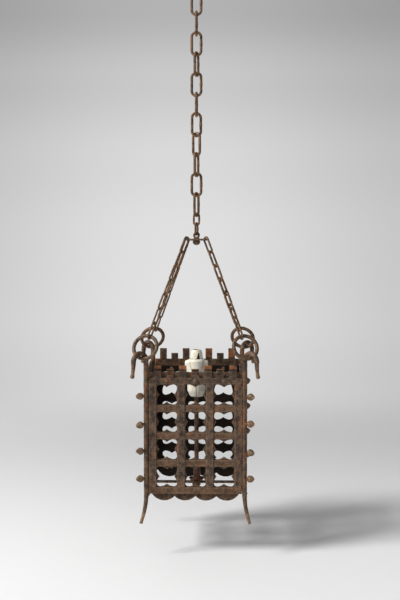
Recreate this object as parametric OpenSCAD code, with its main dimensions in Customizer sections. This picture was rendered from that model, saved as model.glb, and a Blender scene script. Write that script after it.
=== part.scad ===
// Wrought-iron lantern, square in plan, with four pierced and barred sides.
// It hangs from a ceiling hook by a long-link chain, a swivel and a four-chain bridle.
// Millimetres. The origin is the centre of the ceiling plate's top face, +Z is up and
// the front side faces -Y. Everything below the plate has negative Z.

/* [Panels] */
// Columns of windows in each side
columns = 3; // [2:1:4]
// Rows of windows in each side
rows = 4; // [3:1:5]
// Distance between the centrelines of neighbouring uprights
col_pitch = 62.2; // [54:0.2:76]
// Distance between the centrelines of neighbouring cross bars
row_pitch = 60; // [52:1:76]
// Width of each upright flat bar
upright_w = 16; // [12:0.5:20]
// Thickness of the uprights and of the rails
flat_t = 5; // [4.5:0.5:8]
// Height of each rail and cross bar
bar_h = 14.2; // [11:0.2:18]
// Thickness of the cross bars, which are let into the backs of the uprights
cross_t = 3; // [2:0.5:3.5]
// Clearance in each half lap
lap_gap = 0.1; // [0.05:0.05:0.2]
// Thickness of the pierced sheet behind the bars
sheet_t = 2; // [1.5:0.5:3]
// How much of the sheet shows all round inside a window
pierce_lip = 1; // [0.5:0.5:2.5]
// How far each cusp stands into its window
cusp = 6; // [3:0.5:9]
// Radius of the lobe in each corner of a window
lobe_r = 7; // [5:0.5:9]
// How much lower the inner cross bars of the back side sit
back_drop = 12; // [0:1:18]

/* [Parapet and skirt] */
// Number of merlons along the top of each side
merlons = 7; // [5:2:9]
// Width of each merlon
merlon_w = 16.3; // [12:0.1:18]
// Distance from the end of a side to its first merlon
merlon_end = 11.2; // [8:0.2:16]
// Height of the sheet above the top rail in the notches
notch_h = 12.4; // [8:0.2:18]
// Height of a tall merlon of the sheet above its notch
tall_h = 13.8; // [10:0.2:20]
// Height of a short merlon of the sheet above its notch
short_h = 6.5; // [4:0.5:10]
// Height of the back sheet above the top rail in the notches
back_notch_h = 16.4; // [8:0.2:20]
// Height of a tall merlon of the back sheet above its notch
back_tall_h = 25; // [10:0.5:28]
// Height of a short merlon of the back sheet above its notch
back_short_h = 13.6; // [4:0.2:16]
// Height of a tall tooth of the top rail
tall_tooth = 15.7; // [13:0.1:22]
// Height of a short tooth of the top rail
short_tooth = 6.9; // [4:0.1:10]
// Number of scallops along the bottom of each side
scallops = 4; // [3:1:5]
// Distance from the end of a side to its first scallop
scallop_end = 10.3; // [6:0.1:16]
// How far the scallops hang below the bottom rail
scallop_drop = 16; // [12:0.5:20]
// Depth of each scallop's arc below its cusps
scallop_sag = 9.6; // [6:0.2:11]

/* [Corner posts] */
// Diameter of the round corner posts
post_d = 11; // [9:0.5:13]
// Gap between a post and the ends of the sides beside it
post_gap = 0.2; // [0.1:0.1:0.5]
// Centreline radius of the crook at the top of each post
crook_r = 17.5; // [16.5:0.5:21]
// Height of the crook's centre above the top rail's centreline
crook_rise = 43.6; // [36:0.2:60]
// Drop of the crook's tail below the crook's centre
tail_drop = 32; // [20:1:40]
// How far the tip of the tail flicks outward
tail_flick = 4; // [0:0.5:8]
// Radius of the tail at its waist
tail_waist_r = 3.2; // [2.5:0.1:4.5]
// Radius of the flared tip of the tail
tail_tip_r = 4.6; // [3:0.1:6]
// Height of each foot below the bottom rail's centreline
foot_drop = 69; // [50:1:90]
// How far each foot sweeps outward
foot_out = 15.5; // [8:0.5:24]
// Power of the curve along which each foot sweeps outward
foot_power = 2.2; // [1.6:0.1:3]
// Radius of the tip of each foot
foot_tip_r = 3.4; // [1.5:0.1:3.5]

/* [Studs] */
// Length of a stud from the post's surface to its tip
stud_len = 24; // [14:0.5:24]
// Diameter of a stud's acorn head
stud_d = 12; // [9:0.5:14]
// Diameter of a stud's neck
stud_neck_d = 5; // [4:0.5:7]
// Length of a stud's bare neck
stud_neck_len = 5; // [3:0.5:7]
// How much lower than the middle of its row each stud sits
stud_low = 3; // [0:0.5:8]

/* [Rivets] */
// Diameter of the rivet shanks
rivet_d = 4; // [3:0.5:5]
// Diameter of the rivet heads
rivet_head_d = 8; // [7:0.5:10]
// Height of the outer rivet heads
rivet_head_h = 2.4; // [1.5:0.1:3.5]
// Height of the peened inner heads
rivet_peen_h = 1.4; // [1:0.1:2]
// How much narrower a peened head is at its end
rivet_peen_taper = 2; // [1:0.5:3]

/* [Rings] */
// Outer diameter of the rings in the crooks
ring_d = 61; // [56:1:70]
// Diameter of the bar of the rings
ring_bar_d = 8.4; // [7:0.2:9]
// Turn of each ring about its line of pull, out of the plane across the crook
ring_turn = 25; // [0:1:26]
// Distance of the ring's bar from the crook's centre, along the line of pull
ring_seat = 7.4; // [6:0.1:7.4]

/* [Bridle] */
// Number of links in each bridle chain
bridle_links = 7; // [5:2:9]
// Inner length of each bridle link
bridle_in = 35.2; // [32:0.2:40]
// Width of a bridle link
bridle_w = 16; // [15:0.5:18]
// Width of the last link, which holds the ring
bridle_end_w = 19.8; // [19:0.2:22]
// Wire diameter of the bridle links
bridle_wire = 4.2; // [3.6:0.2:4.6]

/* [Swivel] */
// Side of the square spreader plate
spreader_w = 50; // [46:1:60]
// Thickness of the spreader plate
spreader_t = 4; // [3:0.5:4.5]
// Corner radius of the spreader plate
spreader_corner_r = 6; // [4:0.5:8]
// Diameter of the chain holes in the spreader plate
spreader_hole_d = 9; // [8:0.5:10]
// Metal left between a chain hole and the plate's corner
spreader_web = 4.5; // [4:0.1:5]
// Diameter of the swivel's shank
shank_d = 7; // [6:0.5:8]
// Radial clearance of the spreader plate on the shank
shank_play = 0.1; // [0.05:0.05:0.1]
// Bar diameter of the swivel's eye
eye_bar_d = 4.8; // [4:0.2:5.4]
// Inner diameter of the swivel's eye
eye_hole_d = 6.8; // [6:0.2:8]
// Diameter of the collars on the hook and on the swivel
collar_d = 13; // [12:0.5:15]
// Height of those collars
collar_h = 2; // [1.5:0.5:4]
// Diameter of the domed swivel nut
nut_d = 17; // [14:0.5:20]
// Height of the domed swivel nut
nut_h = 9; // [8:0.5:12]
// Height of the straight rim of the domed nut
nut_rim_h = 2; // [1:0.5:3]
// Metal left in the domed nut below the end of the shank
nut_crown = 3; // [2:0.5:5]
// Thickness of the washer between the spreader plate and the nut
washer_t = 1.2; // [1:0.1:2]

/* [Chain] */
// Number of large links in the chain
big_links = 11; // [3:1:13]
// Inner length of a large link
big_in = 45; // [40:0.5:50]
// Width of a large link
big_w = 27; // [25:0.5:30]
// Wire diameter of a large link
big_wire = 6; // [5:0.5:6.5]
// Number of small links below the large ones
small_links = 2; // [1:1:4]
// Inner length of a small link
small_in = 22; // [20:0.5:28]
// Width of a small link
small_w = 17; // [16:0.5:20]
// Wire diameter of a small link
small_wire = 4.6; // [4:0.2:5]
// Gap between touching links
link_gap = 0.2; // [0.1:0.05:0.3]

/* [Ceiling fitting] */
// Diameter of the ceiling plate
ceiling_d = 64; // [58:1:90]
// Thickness of the ceiling plate
ceiling_t = 6; // [5:0.5:10]
// Diameter of the circle of the screw holes
screw_pcd = 46; // [42:1:48]
// Number of screw holes
screw_holes = 3; // [3:1:4]
// Diameter of the screw holes
screw_hole_d = 5; // [4:0.5:6]
// Diameter of the bar of the ceiling hook
hook_bar_d = 8; // [7:0.5:9]
// Centreline radius of the ceiling hook
hook_r = 16; // [14:0.5:20]
// Length of the hook's shank below the ceiling plate
hook_shank = 14; // [8:1:40]
// Depth of the hook's shank in the ceiling plate
hook_socket = 4; // [3:0.5:4]
// Angle through which the hook's bar bends
hook_sweep = 285; // [270:5:290]

/* [Lamp stand] */
// Width of the two crossed floor straps
strap_w = 16; // [12:0.5:20]
// Thickness of the floor straps
strap_t = 3; // [2:0.5:4]
// Drop of the straps below the bottom rail
strap_drop = 3; // [1:0.5:8]
// Diameter of the stem that carries the lampholder
stem_d = 10; // [8:0.5:12]
// Gap round the stem in the straps, the pan, the cup and the nut
stem_gap = 0.1; // [0.05:0.05:0.2]
// Diameter of the drip pan
pan_d = 36; // [30:1:60]
// Thickness of the drip pan
pan_t = 2; // [1.5:0.5:3]
// Height of the drip pan's rim
pan_rim = 5; // [4:0.5:8]
// Thickness of the drip pan's rim
pan_rim_w = 1.5; // [1:0.5:2]
// How far the drip pan's rim flares outward
pan_flare = 4; // [2:0.5:6]
// Diameter of the cup round the foot of the stem
cup_d = 17; // [16:0.5:20]
// Height of that cup
cup_h = 36; // [24:1:60]
// Thickness of the cup's wall
cup_wall = 2; // [1:0.1:2]
// How far the cup's foot stands out and its waist draws in
cup_step = 1; // [0:0.1:1]
// Height of the cup's foot, and of its floor
cup_foot_h = 5; // [3:0.5:8]
// Diameter of the cup's flared lip
cup_lip_d = 20; // [19:0.5:26]
// Height of the cup's lip
cup_lip_h = 4; // [2:0.5:6]
// Height of the flare below the lip
cup_flare_h = 3; // [2:0.5:6]
// Width of the nut under the straps across its flats
stem_nut_w = 17; // [15:0.5:20]
// Height of the nut under the straps
stem_nut_h = 6; // [4:0.5:8]
// How far the stem's end shows below its nut
stem_end = 2; // [1:0.5:6]

/* [Lampholder] */
// Height of the lampholder's foot below the top rail's centreline
holder_low = 50.3; // [44:0.1:60]
// Diameter of the lower porcelain at its foot
foot_d = 30; // [26:1:34]
// Diameter of the lower porcelain
base_d = 42; // [38:1:46]
// Height of the lower porcelain's tapered foot
base_taper_h = 12; // [8:1:16]
// Height of the lower porcelain
base_h = 41; // [34:1:48]
// Depth of the stem in the lower porcelain
stem_socket = 12; // [8:1:16]
// Bevel on the edges of the lower porcelain
porcelain_bevel = 1.5; // [0.5:0.5:3]
// Width of the groove down the front and the back of the lower porcelain
groove_w = 1.2; // [0.8:0.2:2.4]
// Depth of that groove
groove_depth = 1; // [0.5:0.5:2]
// Diameter of the upper porcelain
body_d = 40; // [38:0.5:44]
// Width of the upper porcelain across its two shoulders
shoulder_w = 53.5; // [50:0.5:60]
// Radius of each shoulder in plan
ear_r = 8; // [7.5:0.5:10]
// How much lower the shoulders sit than the round body, at top and bottom
ear_low = 3; // [1:0.5:6]
// Height of the upper porcelain up to its shoulders
body_h = 45; // [38:1:52]
// Rounding of the shoulders
shoulder_r = 6; // [4:0.5:7]
// Width of the arch between the two legs of the upper porcelain
arch_w = 15; // [10:0.5:20]
// Height at which the arch springs
arch_h = 6; // [4:0.5:10]
// Depth of the arch
arch_depth = 7; // [4:0.5:8]
// Diameter of the terminal arm on the left
arm_d = 6; // [4:0.5:8]
// How far that arm stands out from the shoulder
arm_out = 7; // [4:0.5:12]
// Height of that arm above the foot of the upper porcelain
arm_h = 22; // [16:1:28]
// Diameter of the porcelain collar round the screw shell
mouth_d = 24.5; // [24:0.5:28]
// Height of that collar above the shoulders
mouth_h = 21; // [14:1:26]
// Rounding of the collar's top edge
mouth_r = 2.5; // [1.5:0.5:3]
// Distance of the cut in the collar from the middle, to the right
cut_x = 5.5; // [2:0.5:7]
// Width of that cut at its foot
cut_w = 8; // [5:0.5:9]
// Height of that cut
cut_h = 13; // [8:0.5:16]
// Outer diameter of the brass screw shell
shell_d = 17.6; // [17:0.1:18]
// Inner diameter of the brass screw shell, which takes a small screw cap
shell_in_d = 14.2; // [13.8:0.1:14.6]
// Height of the screw shell
shell_h = 38; // [28:1:46]
// How far the screw shell's top sits below the collar's top
shell_low = 1; // [0.5:0.5:4]
// Thickness of the screw shell's floor
shell_floor = 2; // [1:0.5:3]
// Diameter of the centre contact
contact_d = 8; // [6:0.5:10]
// Height of the centre contact's spring tongue above the shell's floor
contact_h = 4; // [3:0.5:6]

/* [Hidden] */
$fn = 48;
side_names = ["front", "right", "back", "left"];
corner_names = ["front_right", "back_right", "back_left", "front_left"];
// Azimuth of each corner, and which way its ring is turned
corner_az = [315, 45, 135, 225];
ring_sign = [-1, 1, -1, 1];
// Plan angles of the links of the chain, as they hang
link_yaws = [0, 90, 4, 70, -4, 88, 22, -44, 70, 0, 66, -14, 68];
function link_yaw(i) = link_yaws[i % len(link_yaws)];
// Step in radius, or overlap, where the solids of one piece join
fuse = 0.1;
// Stations along each tapered bar, and how deep bars of one piece sink into each other
bar_steps = 9;
bar_sink = 1;
// How far a stud's root reaches under the post's surface before it is cut to fit
stud_root = 1.5;
// How the acorn's swell is drawn towards its neck, and how full it is
acorn_bias = 0.72;
acorn_fullness = 0.75;

// Sides: outer width, thickness, and distance of their middle planes from the axis
panel_w = columns * col_pitch + upright_w;
panel_t = sheet_t + flat_t;
post_off = panel_w / 2 + post_gap + post_d / 2;
post_rho = post_off * sqrt(2);
wall_in = post_off - panel_t / 2;
panel_h = rows * row_pitch;

// Chain: heights down the axis, from the ceiling to the spreader plate
links = big_links + small_links;
function is_big(i) = i < big_links;
function link_in(i) = is_big(i) ? big_in : small_in;
function link_w(i) = is_big(i) ? big_w : small_w;
function link_wire(i) = is_big(i) ? big_wire : small_wire;
hook_z = -ceiling_t - hook_shank - 2 * hook_r;
// Height of the inner top of link i
function link_top(i) =
    i == 0 ? hook_z + hook_bar_d / 2 + link_gap
           : link_top(i - 1) - link_in(i - 1) + link_gap;
// Height of the centre of the bottom wire of link i
function link_pin(i) = link_top(i) - link_in(i) - link_wire(i) / 2;
eye_z = link_top(links) - eye_hole_d / 2;
eye_r = (eye_hole_d + eye_bar_d) / 2;
plate_play = 0.2;
collar_z = eye_z - eye_r - collar_h;
spreader_z = collar_z - plate_play - spreader_t;
nut_z = spreader_z - plate_play - washer_t - nut_h;

// Bridle: web of the spreader plate, line of pull and its angle from the vertical
web_rho = (spreader_w / 2 - spreader_corner_r) * sqrt(2) + spreader_corner_r - spreader_web / 2;
hole_rho = web_rho - spreader_web / 2 - spreader_hole_d / 2;
web_z = spreader_z + spreader_t / 2;
bend_in = bridle_w / 2 - bridle_wire;
web_sink = 0.5;
ring_r = (ring_d - ring_bar_d) / 2;
crook_rho = post_rho + crook_r;
pull_start = web_sink - bend_in;
ring_q = pull_start + bridle_links * (bridle_in - link_gap) - ring_bar_d / 2 + ring_r;
pull_len = ring_q + ring_r + ring_seat;
pull_angle = asin((crook_rho - web_rho) / pull_len);
crook_z = web_z - pull_len * cos(pull_angle);
rail_z = crook_z - crook_rise;

// Lamp stand
bottom_edge = rail_z - panel_h - bar_h / 2;
strap_z = bottom_edge - strap_drop;
floor_z = strap_z + strap_t;
holder_z = rail_z - holder_low;

function mod2(i) = i - 2 * floor(i / 2);
function bar_levels(drop) =
    [for (i = [0 : rows]) -row_pitch * i - (i > 0 && i < rows ? drop : 0)];
function side_drop(side) = side == 2 ? back_drop : 0;
// Notch height, tall merlon and short merlon of a side's sheet
function side_crest(side) =
    side == 2 ? [back_notch_h, back_tall_h, back_short_h] : [notch_h, tall_h, short_h];
function col_x(i) = (i - (columns - 1) / 2) * col_pitch;
function upright_x(i) = (i - columns / 2) * col_pitch;
merlon_pitch = (panel_w - 2 * merlon_end - merlon_w) / (merlons - 1);
function merlon_x(i) = (i - (merlons - 1) / 2) * merlon_pitch;
scallop_pitch = (panel_w - 2 * scallop_end) / scallops;
scallop_r = (pow(scallop_pitch / 2, 2) + pow(scallop_sag, 2)) / (2 * scallop_sag);
function scallop_x(i) = (i - (scallops - 1) / 2) * scallop_pitch;
window_w = col_pitch - upright_w;

// Outline of a pierced window of half width a and half height b: each side has a
// pointed cusp whose flanks run out as a parabola, and each corner has a round lobe
function window_side(a, b) =
    let (reach = a - lobe_r)
    concat(
        [for (s = [-1, -0.7, -0.45, -0.22, 0, 0.22, 0.45, 0.7, 1])
            [s * reach, b - cusp * pow(1 - abs(s), 2)]],
        [for (t = [67.5, 45, 22.5]) [a - lobe_r + lobe_r * cos(t), b - lobe_r + lobe_r * sin(t)]]
    );
function quarter(p, n) =
    n == 0 ? p : n == 1 ? [p[1], -p[0]] : n == 2 ? [-p[0], -p[1]] : [-p[1], p[0]];
function window_points(a, b) =
    [for (n = [0 : 3])
        for (p = mod2(n) == 0 ? window_side(a, b) : window_side(b, a)) quarter(p, n)];

// Stands its children on one side: X along the side, -Y outward, Z from the top rail
module on_side(side) {
    rotate([0, 0, 90 * side]) translate([0, -post_off, rail_z]) children();
}

// Extrudes a flat outline outward, from depth y0 over a thickness
module flat(y0, thickness) {
    translate([0, y0, 0]) rotate([90, 0, 0]) linear_extrude(thickness) children();
}

module crenels(base, tall, short) {
    for (i = [0 : merlons - 1])
        translate([merlon_x(i) - merlon_w / 2, base])
            square([merlon_w, mod2(i) == 0 ? tall : short]);
}

module rivet_holes_2d(z) {
    for (i = [0 : columns - 1]) translate([col_x(i), z]) circle(d = rivet_d + 2 * lap_gap);
}

module sheet_2d(levels, crest) {
    low = levels[rows] - bar_h / 2;
    difference() {
        union() {
            translate([-panel_w / 2, low]) square([panel_w, bar_h + crest[0] - levels[rows]]);
            crenels(bar_h / 2 + crest[0], crest[1], crest[2]);
            intersection() {
                translate([-panel_w / 2, low - scallop_drop]) square([panel_w, scallop_drop + 1]);
                for (i = [0 : scallops - 1])
                    translate([scallop_x(i), low - scallop_drop + scallop_r])
                        circle(r = scallop_r, $fn = 96);
            }
        }
        for (i = [0 : columns - 1], j = [0 : rows - 1])
            translate([col_x(i), (levels[j] + levels[j + 1]) / 2])
                polygon(window_points(window_w / 2 - pierce_lip,
                    (levels[j] - levels[j + 1] - bar_h) / 2 - pierce_lip));
        rivet_holes_2d(0);
        rivet_holes_2d(levels[rows]);
        translate([0, levels[rows]]) circle(d = rivet_d + 2 * lap_gap);
    }
}

module sheet(side) {
    color("saddlebrown")
        on_side(side) flat(panel_t / 2, sheet_t)
            sheet_2d(bar_levels(side_drop(side)), side_crest(side));
}

module rails(side) {
    color("dimgray") on_side(side) flat(panel_t / 2 - sheet_t, flat_t) {
        difference() {
            union() {
                translate([-panel_w / 2, -bar_h / 2]) square([panel_w, bar_h]);
                crenels(bar_h / 2, tall_tooth, short_tooth);
            }
            rivet_holes_2d(0);
        }
        difference() {
            translate([-panel_w / 2, -panel_h - bar_h / 2]) square([panel_w, bar_h]);
            rivet_holes_2d(-panel_h);
            translate([0, -panel_h]) circle(d = rivet_d + 2 * lap_gap);
        }
    }
}

module uprights(side) {
    levels = bar_levels(side_drop(side));
    face = panel_t / 2 - sheet_t;
    color("dimgray") on_side(side) for (i = [0 : columns])
        difference() {
            translate([upright_x(i) - upright_w / 2, face - flat_t, -panel_h + bar_h / 2])
                cube([upright_w, flat_t, panel_h - bar_h]);
            for (j = [1 : rows - 1])
                translate([upright_x(i) - upright_w, face - cross_t - lap_gap,
                        levels[j] - bar_h / 2 - lap_gap])
                    cube([2 * upright_w, cross_t + 2 * lap_gap, bar_h + 2 * lap_gap]);
        }
}

module crossbars(side) {
    levels = bar_levels(side_drop(side));
    color("dimgray") on_side(side) for (j = [1 : rows - 1])
        translate([-panel_w / 2, panel_t / 2 - sheet_t - cross_t, levels[j] - bar_h / 2])
            cube([panel_w, cross_t, bar_h]);
}

// A rivet along Y: a domed head outside, a shank, and a peened head behind the grip
module rivet(grip) {
    cap_r = (pow(rivet_head_d / 2, 2) + pow(rivet_head_h, 2)) / (2 * rivet_head_h);
    rotate([90, 0, 0]) {
        intersection() {
            cylinder(d = rivet_head_d, h = rivet_head_h);
            translate([0, 0, rivet_head_h - cap_r]) sphere(r = cap_r);
        }
        translate([0, 0, -grip - fuse]) cylinder(d = rivet_d, h = grip + 2 * fuse);
        translate([0, 0, -grip - rivet_peen_h])
            cylinder(d1 = rivet_head_d - rivet_peen_taper, d2 = rivet_head_d, h = rivet_peen_h);
    }
}

module panel_rivets() {
    color("gray") for (side = [0 : 3]) on_side(side) translate([0, -panel_t / 2, 0]) {
        for (i = [0 : columns - 1]) translate([col_x(i), 0, 0]) rivet(panel_t);
        for (i = [0 : columns - 1])
            if (abs(col_x(i)) > strap_w) translate([col_x(i), 0, -panel_h]) rivet(panel_t);
        translate([0, 0, -panel_h]) rivet(panel_t + lap_gap + strap_t);
    }
}

// A tapered bar in the XZ plane through centres [x, z], with a radius at each ring and
// the direction of the bar there as an angle from +X. One more ring at its start sinks
// it into the bar that it grows from.
function bar_ring(p, r, a, sides) =
    [for (k = [0 : sides - 1]) let (t = 360 * k / sides)
        [p[0] - r * cos(t) * sin(a), r * sin(t), p[1] + r * cos(t) * cos(a)]];
module tapered_bar(centres, radii, angles, sides = 16) {
    sunk = centres[0] - bar_sink * [cos(angles[0]), sin(angles[0])];
    n = len(centres) + 1;
    points = concat(bar_ring(sunk, radii[0], angles[0], sides),
        [for (i = [0 : n - 2]) each bar_ring(centres[i], radii[i], angles[i], sides)]);
    skin = [for (i = [0 : n - 2], k = [0 : sides - 1])
        let (a = i * sides + k, b = i * sides + (k + 1) % sides)
        each [[a, b, b + sides], [a, b + sides, a + sides]]];
    polyhedron(
        points = points,
        faces = concat([[for (k = [sides - 1 : -1 : 0]) k]], skin,
            [[for (k = [0 : sides - 1]) (n - 1) * sides + k]]),
        convexity = 4
    );
}

// Post in its own frame: X points outward along the lantern's diagonal. The foot sweeps
// out by a power curve as it tapers. The tail flicks out by a parabola, and it thins to
// a waist and swells again at its tip.
module post() {
    foot_z = rail_z - panel_h;
    stations = [for (i = [0 : bar_steps]) i / bar_steps];
    foot = [for (s = stations) [foot_out * pow(s, foot_power), foot_z - foot_drop * s]];
    foot_slope = [for (s = stations)
        atan2(-foot_drop, foot_out * foot_power * pow(s, foot_power - 1))];
    crook_bar_r = post_d / 2 - fuse;
    tail_root_r = crook_bar_r - fuse;
    foot_radii = [for (s = stations) crook_bar_r * (1 - s) + foot_tip_r * s];
    tail = [for (s = stations)
        [2 * crook_r + tail_flick * pow(s, 2), crook_z - tail_drop * s]];
    tail_slope = [for (s = stations) atan2(-tail_drop, tail_flick * 2 * s)];
    tail_radii = [for (s = stations)
        (tail_root_r - tail_waist_r) * pow(1 - s, 1.5) + tail_waist_r
        + (tail_tip_r - tail_waist_r) * pow(s, 4)];
    color("dimgray") union() {
        translate([0, 0, foot_z]) cylinder(d = post_d, h = crook_z - foot_z);
        translate([crook_r, 0, crook_z]) rotate([90, 0, 0])
            rotate_extrude(angle = 180 + asin(bar_sink / crook_r))
                translate([crook_r, 0]) circle(r = crook_bar_r);
        tapered_bar(foot, foot_radii, foot_slope);
        tapered_bar(tail, tail_radii, tail_slope);
    }
}

module at_corner(corner) {
    rotate([0, 0, corner_az[corner]]) children();
}

module placed_post(corner) {
    at_corner(corner) translate([post_rho, 0, 0]) post();
}

// An acorn stud on its neck, along +X from the post's axis
module stud() {
    root = post_d / 2;
    head = root + stud_neck_len;
    head_len = stud_len - stud_neck_len;
    difference() {
        rotate([0, 90, 0]) rotate_extrude() polygon(concat(
            [[0, root - stud_root], [stud_neck_d / 2, root - stud_root],
                [stud_neck_d / 2, head]],
            [for (s = [0.125 : 0.125 : 1])
                [stud_neck_d / 2 * (1 - s)
                    + stud_d / 2 * pow(sin(180 * pow(s, acorn_bias)), acorn_fullness),
                    head + head_len * s]]
        ));
        translate([0, 0, -stud_d]) cylinder(d = post_d + 2 * lap_gap, h = 2 * stud_d);
    }
}

module post_studs() {
    color("dimgray") for (corner = [0 : 3], j = [0 : rows - 1])
        at_corner(corner) translate([post_rho, 0, rail_z - (j + 0.5) * row_pitch - stud_low])
            stud();
}

// A chain link in the XZ plane, long way up, from its wire, width and inner length
module oval_link(wire, width, inner) {
    bend = (width - wire) / 2;
    half = (inner + 2 * wire - width) / 2;
    for (turn = [0, 180])
        rotate([0, turn, 0]) translate([0, 0, half]) rotate([90, 0, 0])
            rotate_extrude(angle = 180) translate([bend, 0]) circle(d = wire);
    for (x = [-bend, bend]) translate([x, 0, -half]) cylinder(d = wire, h = 2 * half);
}

module chain_link(i) {
    color("dimgray") translate([0, 0, link_top(i) - link_in(i) / 2])
        rotate([0, 0, link_yaw(i)]) oval_link(link_wire(i), link_w(i), link_in(i));
}

// Moves to distance q down the line of pull of a corner, with -Z along that line
module on_pull(corner, q) {
    at_corner(corner)
        translate([web_rho + q * sin(pull_angle), 0, web_z - q * cos(pull_angle)])
            rotate([0, -pull_angle, 0]) children();
}

// Links stand in the diagonal plane and across it by turns; the last one stands square
// to the ring that it holds
module bridle(corner) {
    color("dimgray") for (i = [0 : bridle_links - 1]) {
        last = i == bridle_links - 1;
        q = pull_start + i * (bridle_in - link_gap) + bridle_in / 2;
        yaw = last ? ring_sign[corner] * ring_turn : mod2(i) * 90;
        on_pull(corner, q) rotate([0, 0, yaw])
            oval_link(bridle_wire, last ? bridle_end_w : bridle_w, bridle_in);
    }
}

module ring(corner) {
    color("dimgray") on_pull(corner, ring_q) rotate([0, 0, ring_sign[corner] * ring_turn])
        rotate([0, 90, 0]) rotate_extrude($fn = 96) translate([ring_r, 0]) circle(d = ring_bar_d);
}

module ceiling_plate() {
    color("dimgray") difference() {
        translate([0, 0, -ceiling_t]) cylinder(d = ceiling_d, h = ceiling_t, $fn = 96);
        translate([0, 0, -ceiling_t - 1])
            cylinder(d = hook_bar_d + 2 * lap_gap, h = hook_socket + 1);
        for (i = [0 : screw_holes - 1])
            rotate([0, 0, 360 * i / screw_holes + 90])
                translate([screw_pcd / 2, 0, -ceiling_t - 1])
                    cylinder(d = screw_hole_d, h = ceiling_t + 2);
    }
}

// The hook's bar leaves the plate and turns round a circle in the YZ plane. Its elbow at
// the top of the circle and its tip are rounded.
module ceiling_hook() {
    centre_z = hook_z + hook_r;
    color("dimgray") union() {
        translate([0, 0, hook_z + 2 * hook_r])
            cylinder(d = hook_bar_d, h = hook_shank + hook_socket - lap_gap);
        translate([0, 0, -ceiling_t - collar_h]) cylinder(d = collar_d, h = collar_h);
        translate([0, 0, centre_z]) rotate([90, 0, 90]) rotate([0, 0, 90])
            rotate_extrude(angle = hook_sweep) translate([hook_r, 0]) circle(d = hook_bar_d);
        for (a = [90, 90 + hook_sweep])
            translate([0, hook_r * cos(a), centre_z + hook_r * sin(a)])
                sphere(d = hook_bar_d + 2 * fuse);
    }
}

module swivel_eye() {
    shank_low = nut_z + nut_crown;
    color("dimgray") union() {
        translate([0, 0, eye_z]) rotate([0, 0, link_yaw(links - 1) + 90]) rotate([90, 0, 0])
            rotate_extrude() translate([eye_r, 0]) circle(d = eye_bar_d);
        translate([0, 0, collar_z]) cylinder(d = collar_d, h = collar_h);
        translate([0, 0, shank_low]) cylinder(d = shank_d, h = eye_z - eye_r - shank_low);
    }
}

module swivel_nut() {
    dome_h = nut_h - nut_rim_h;
    dome_r = (pow(nut_d / 2, 2) + pow(dome_h, 2)) / (2 * dome_h);
    color("dimgray") difference() {
        union() {
            translate([0, 0, nut_z + dome_h]) cylinder(d = nut_d, h = nut_rim_h);
            intersection() {
                translate([0, 0, nut_z]) cylinder(d = nut_d, h = dome_h);
                translate([0, 0, nut_z + dome_r]) sphere(r = dome_r);
            }
        }
        translate([0, 0, nut_z + nut_crown - lap_gap])
            cylinder(d = shank_d + 2 * lap_gap, h = nut_h);
    }
}

module swivel_washer() {
    color("gray") difference() {
        translate([0, 0, nut_z + nut_h]) cylinder(d = nut_d - 2, h = washer_t);
        translate([0, 0, nut_z]) cylinder(d = shank_d + 2 * lap_gap, h = 2 * nut_h);
    }
}

module spreader_plate() {
    inner = spreader_w / 2 - spreader_corner_r;
    color("dimgray") translate([0, 0, spreader_z]) linear_extrude(spreader_t) difference() {
        union() {
            square([spreader_w, 2 * inner], center = true);
            square([2 * inner, spreader_w], center = true);
            for (x = [-inner, inner], y = [-inner, inner])
                translate([x, y]) circle(r = spreader_corner_r);
        }
        circle(d = shank_d + 2 * shank_play);
        for (a = corner_az) rotate([0, 0, a]) translate([hole_rho, 0]) circle(d = spreader_hole_d);
    }
}

// A strap along X: flat on the floor level, with both ends turned up inside the sheets
module strap(low) {
    half = wall_in - lap_gap;
    up = rail_z - panel_h + bar_h / 2 - low;
    difference() {
        union() {
            translate([-half, -strap_w / 2, low]) cube([2 * half, strap_w, strap_t]);
            for (x = [-half, half - strap_t])
                translate([x, -strap_w / 2, low]) cube([strap_t, strap_w, up]);
        }
        translate([0, 0, low - 1]) cylinder(d = stem_d + 2 * stem_gap, h = strap_t + 2);
        translate([-half - 1, 0, rail_z - panel_h]) rotate([0, 90, 0])
            cylinder(d = rivet_d + 2 * lap_gap, h = 2 * half + 2);
    }
}

module floor_strap_across() {
    color("dimgray") strap(strap_z);
}

module floor_strap_deep() {
    color("dimgray") rotate([0, 0, 90]) strap(floor_z);
}

pan_z = floor_z + strap_t;
module drip_pan() {
    bore_r = stem_d / 2 + stem_gap;
    color("sienna") translate([0, 0, pan_z]) rotate_extrude($fn = 96) polygon([
        [bore_r, 0], [pan_d / 2 - pan_flare, 0], [pan_d / 2, pan_rim],
        [pan_d / 2 - pan_rim_w, pan_rim], [pan_d / 2 - pan_flare - pan_rim_w, pan_t],
        [bore_r, pan_t]
    ]);
}

module stem_cup() {
    bore_r = stem_d / 2 + stem_gap;
    waist_r = cup_d / 2 - cup_step;
    neck_z = cup_h - cup_lip_h - cup_flare_h;
    color("sienna") translate([0, 0, pan_z + pan_t]) rotate_extrude() polygon([
        [bore_r, 0], [cup_d / 2 + cup_step, 0], [waist_r, cup_foot_h], [waist_r, neck_z],
        [cup_lip_d / 2, cup_h - cup_lip_h], [cup_lip_d / 2, cup_h],
        [cup_lip_d / 2 - cup_wall, cup_h], [waist_r - cup_wall, neck_z],
        [waist_r - cup_wall, cup_foot_h], [bore_r, cup_foot_h]
    ]);
}

module stem_nut() {
    color("dimgray") difference() {
        translate([0, 0, strap_z - stem_nut_h])
            cylinder(d = stem_nut_w / cos(30), h = stem_nut_h, $fn = 6);
        translate([0, 0, strap_z - stem_nut_h - 1])
            cylinder(d = stem_d + 2 * stem_gap, h = stem_nut_h + 2);
    }
}

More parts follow.
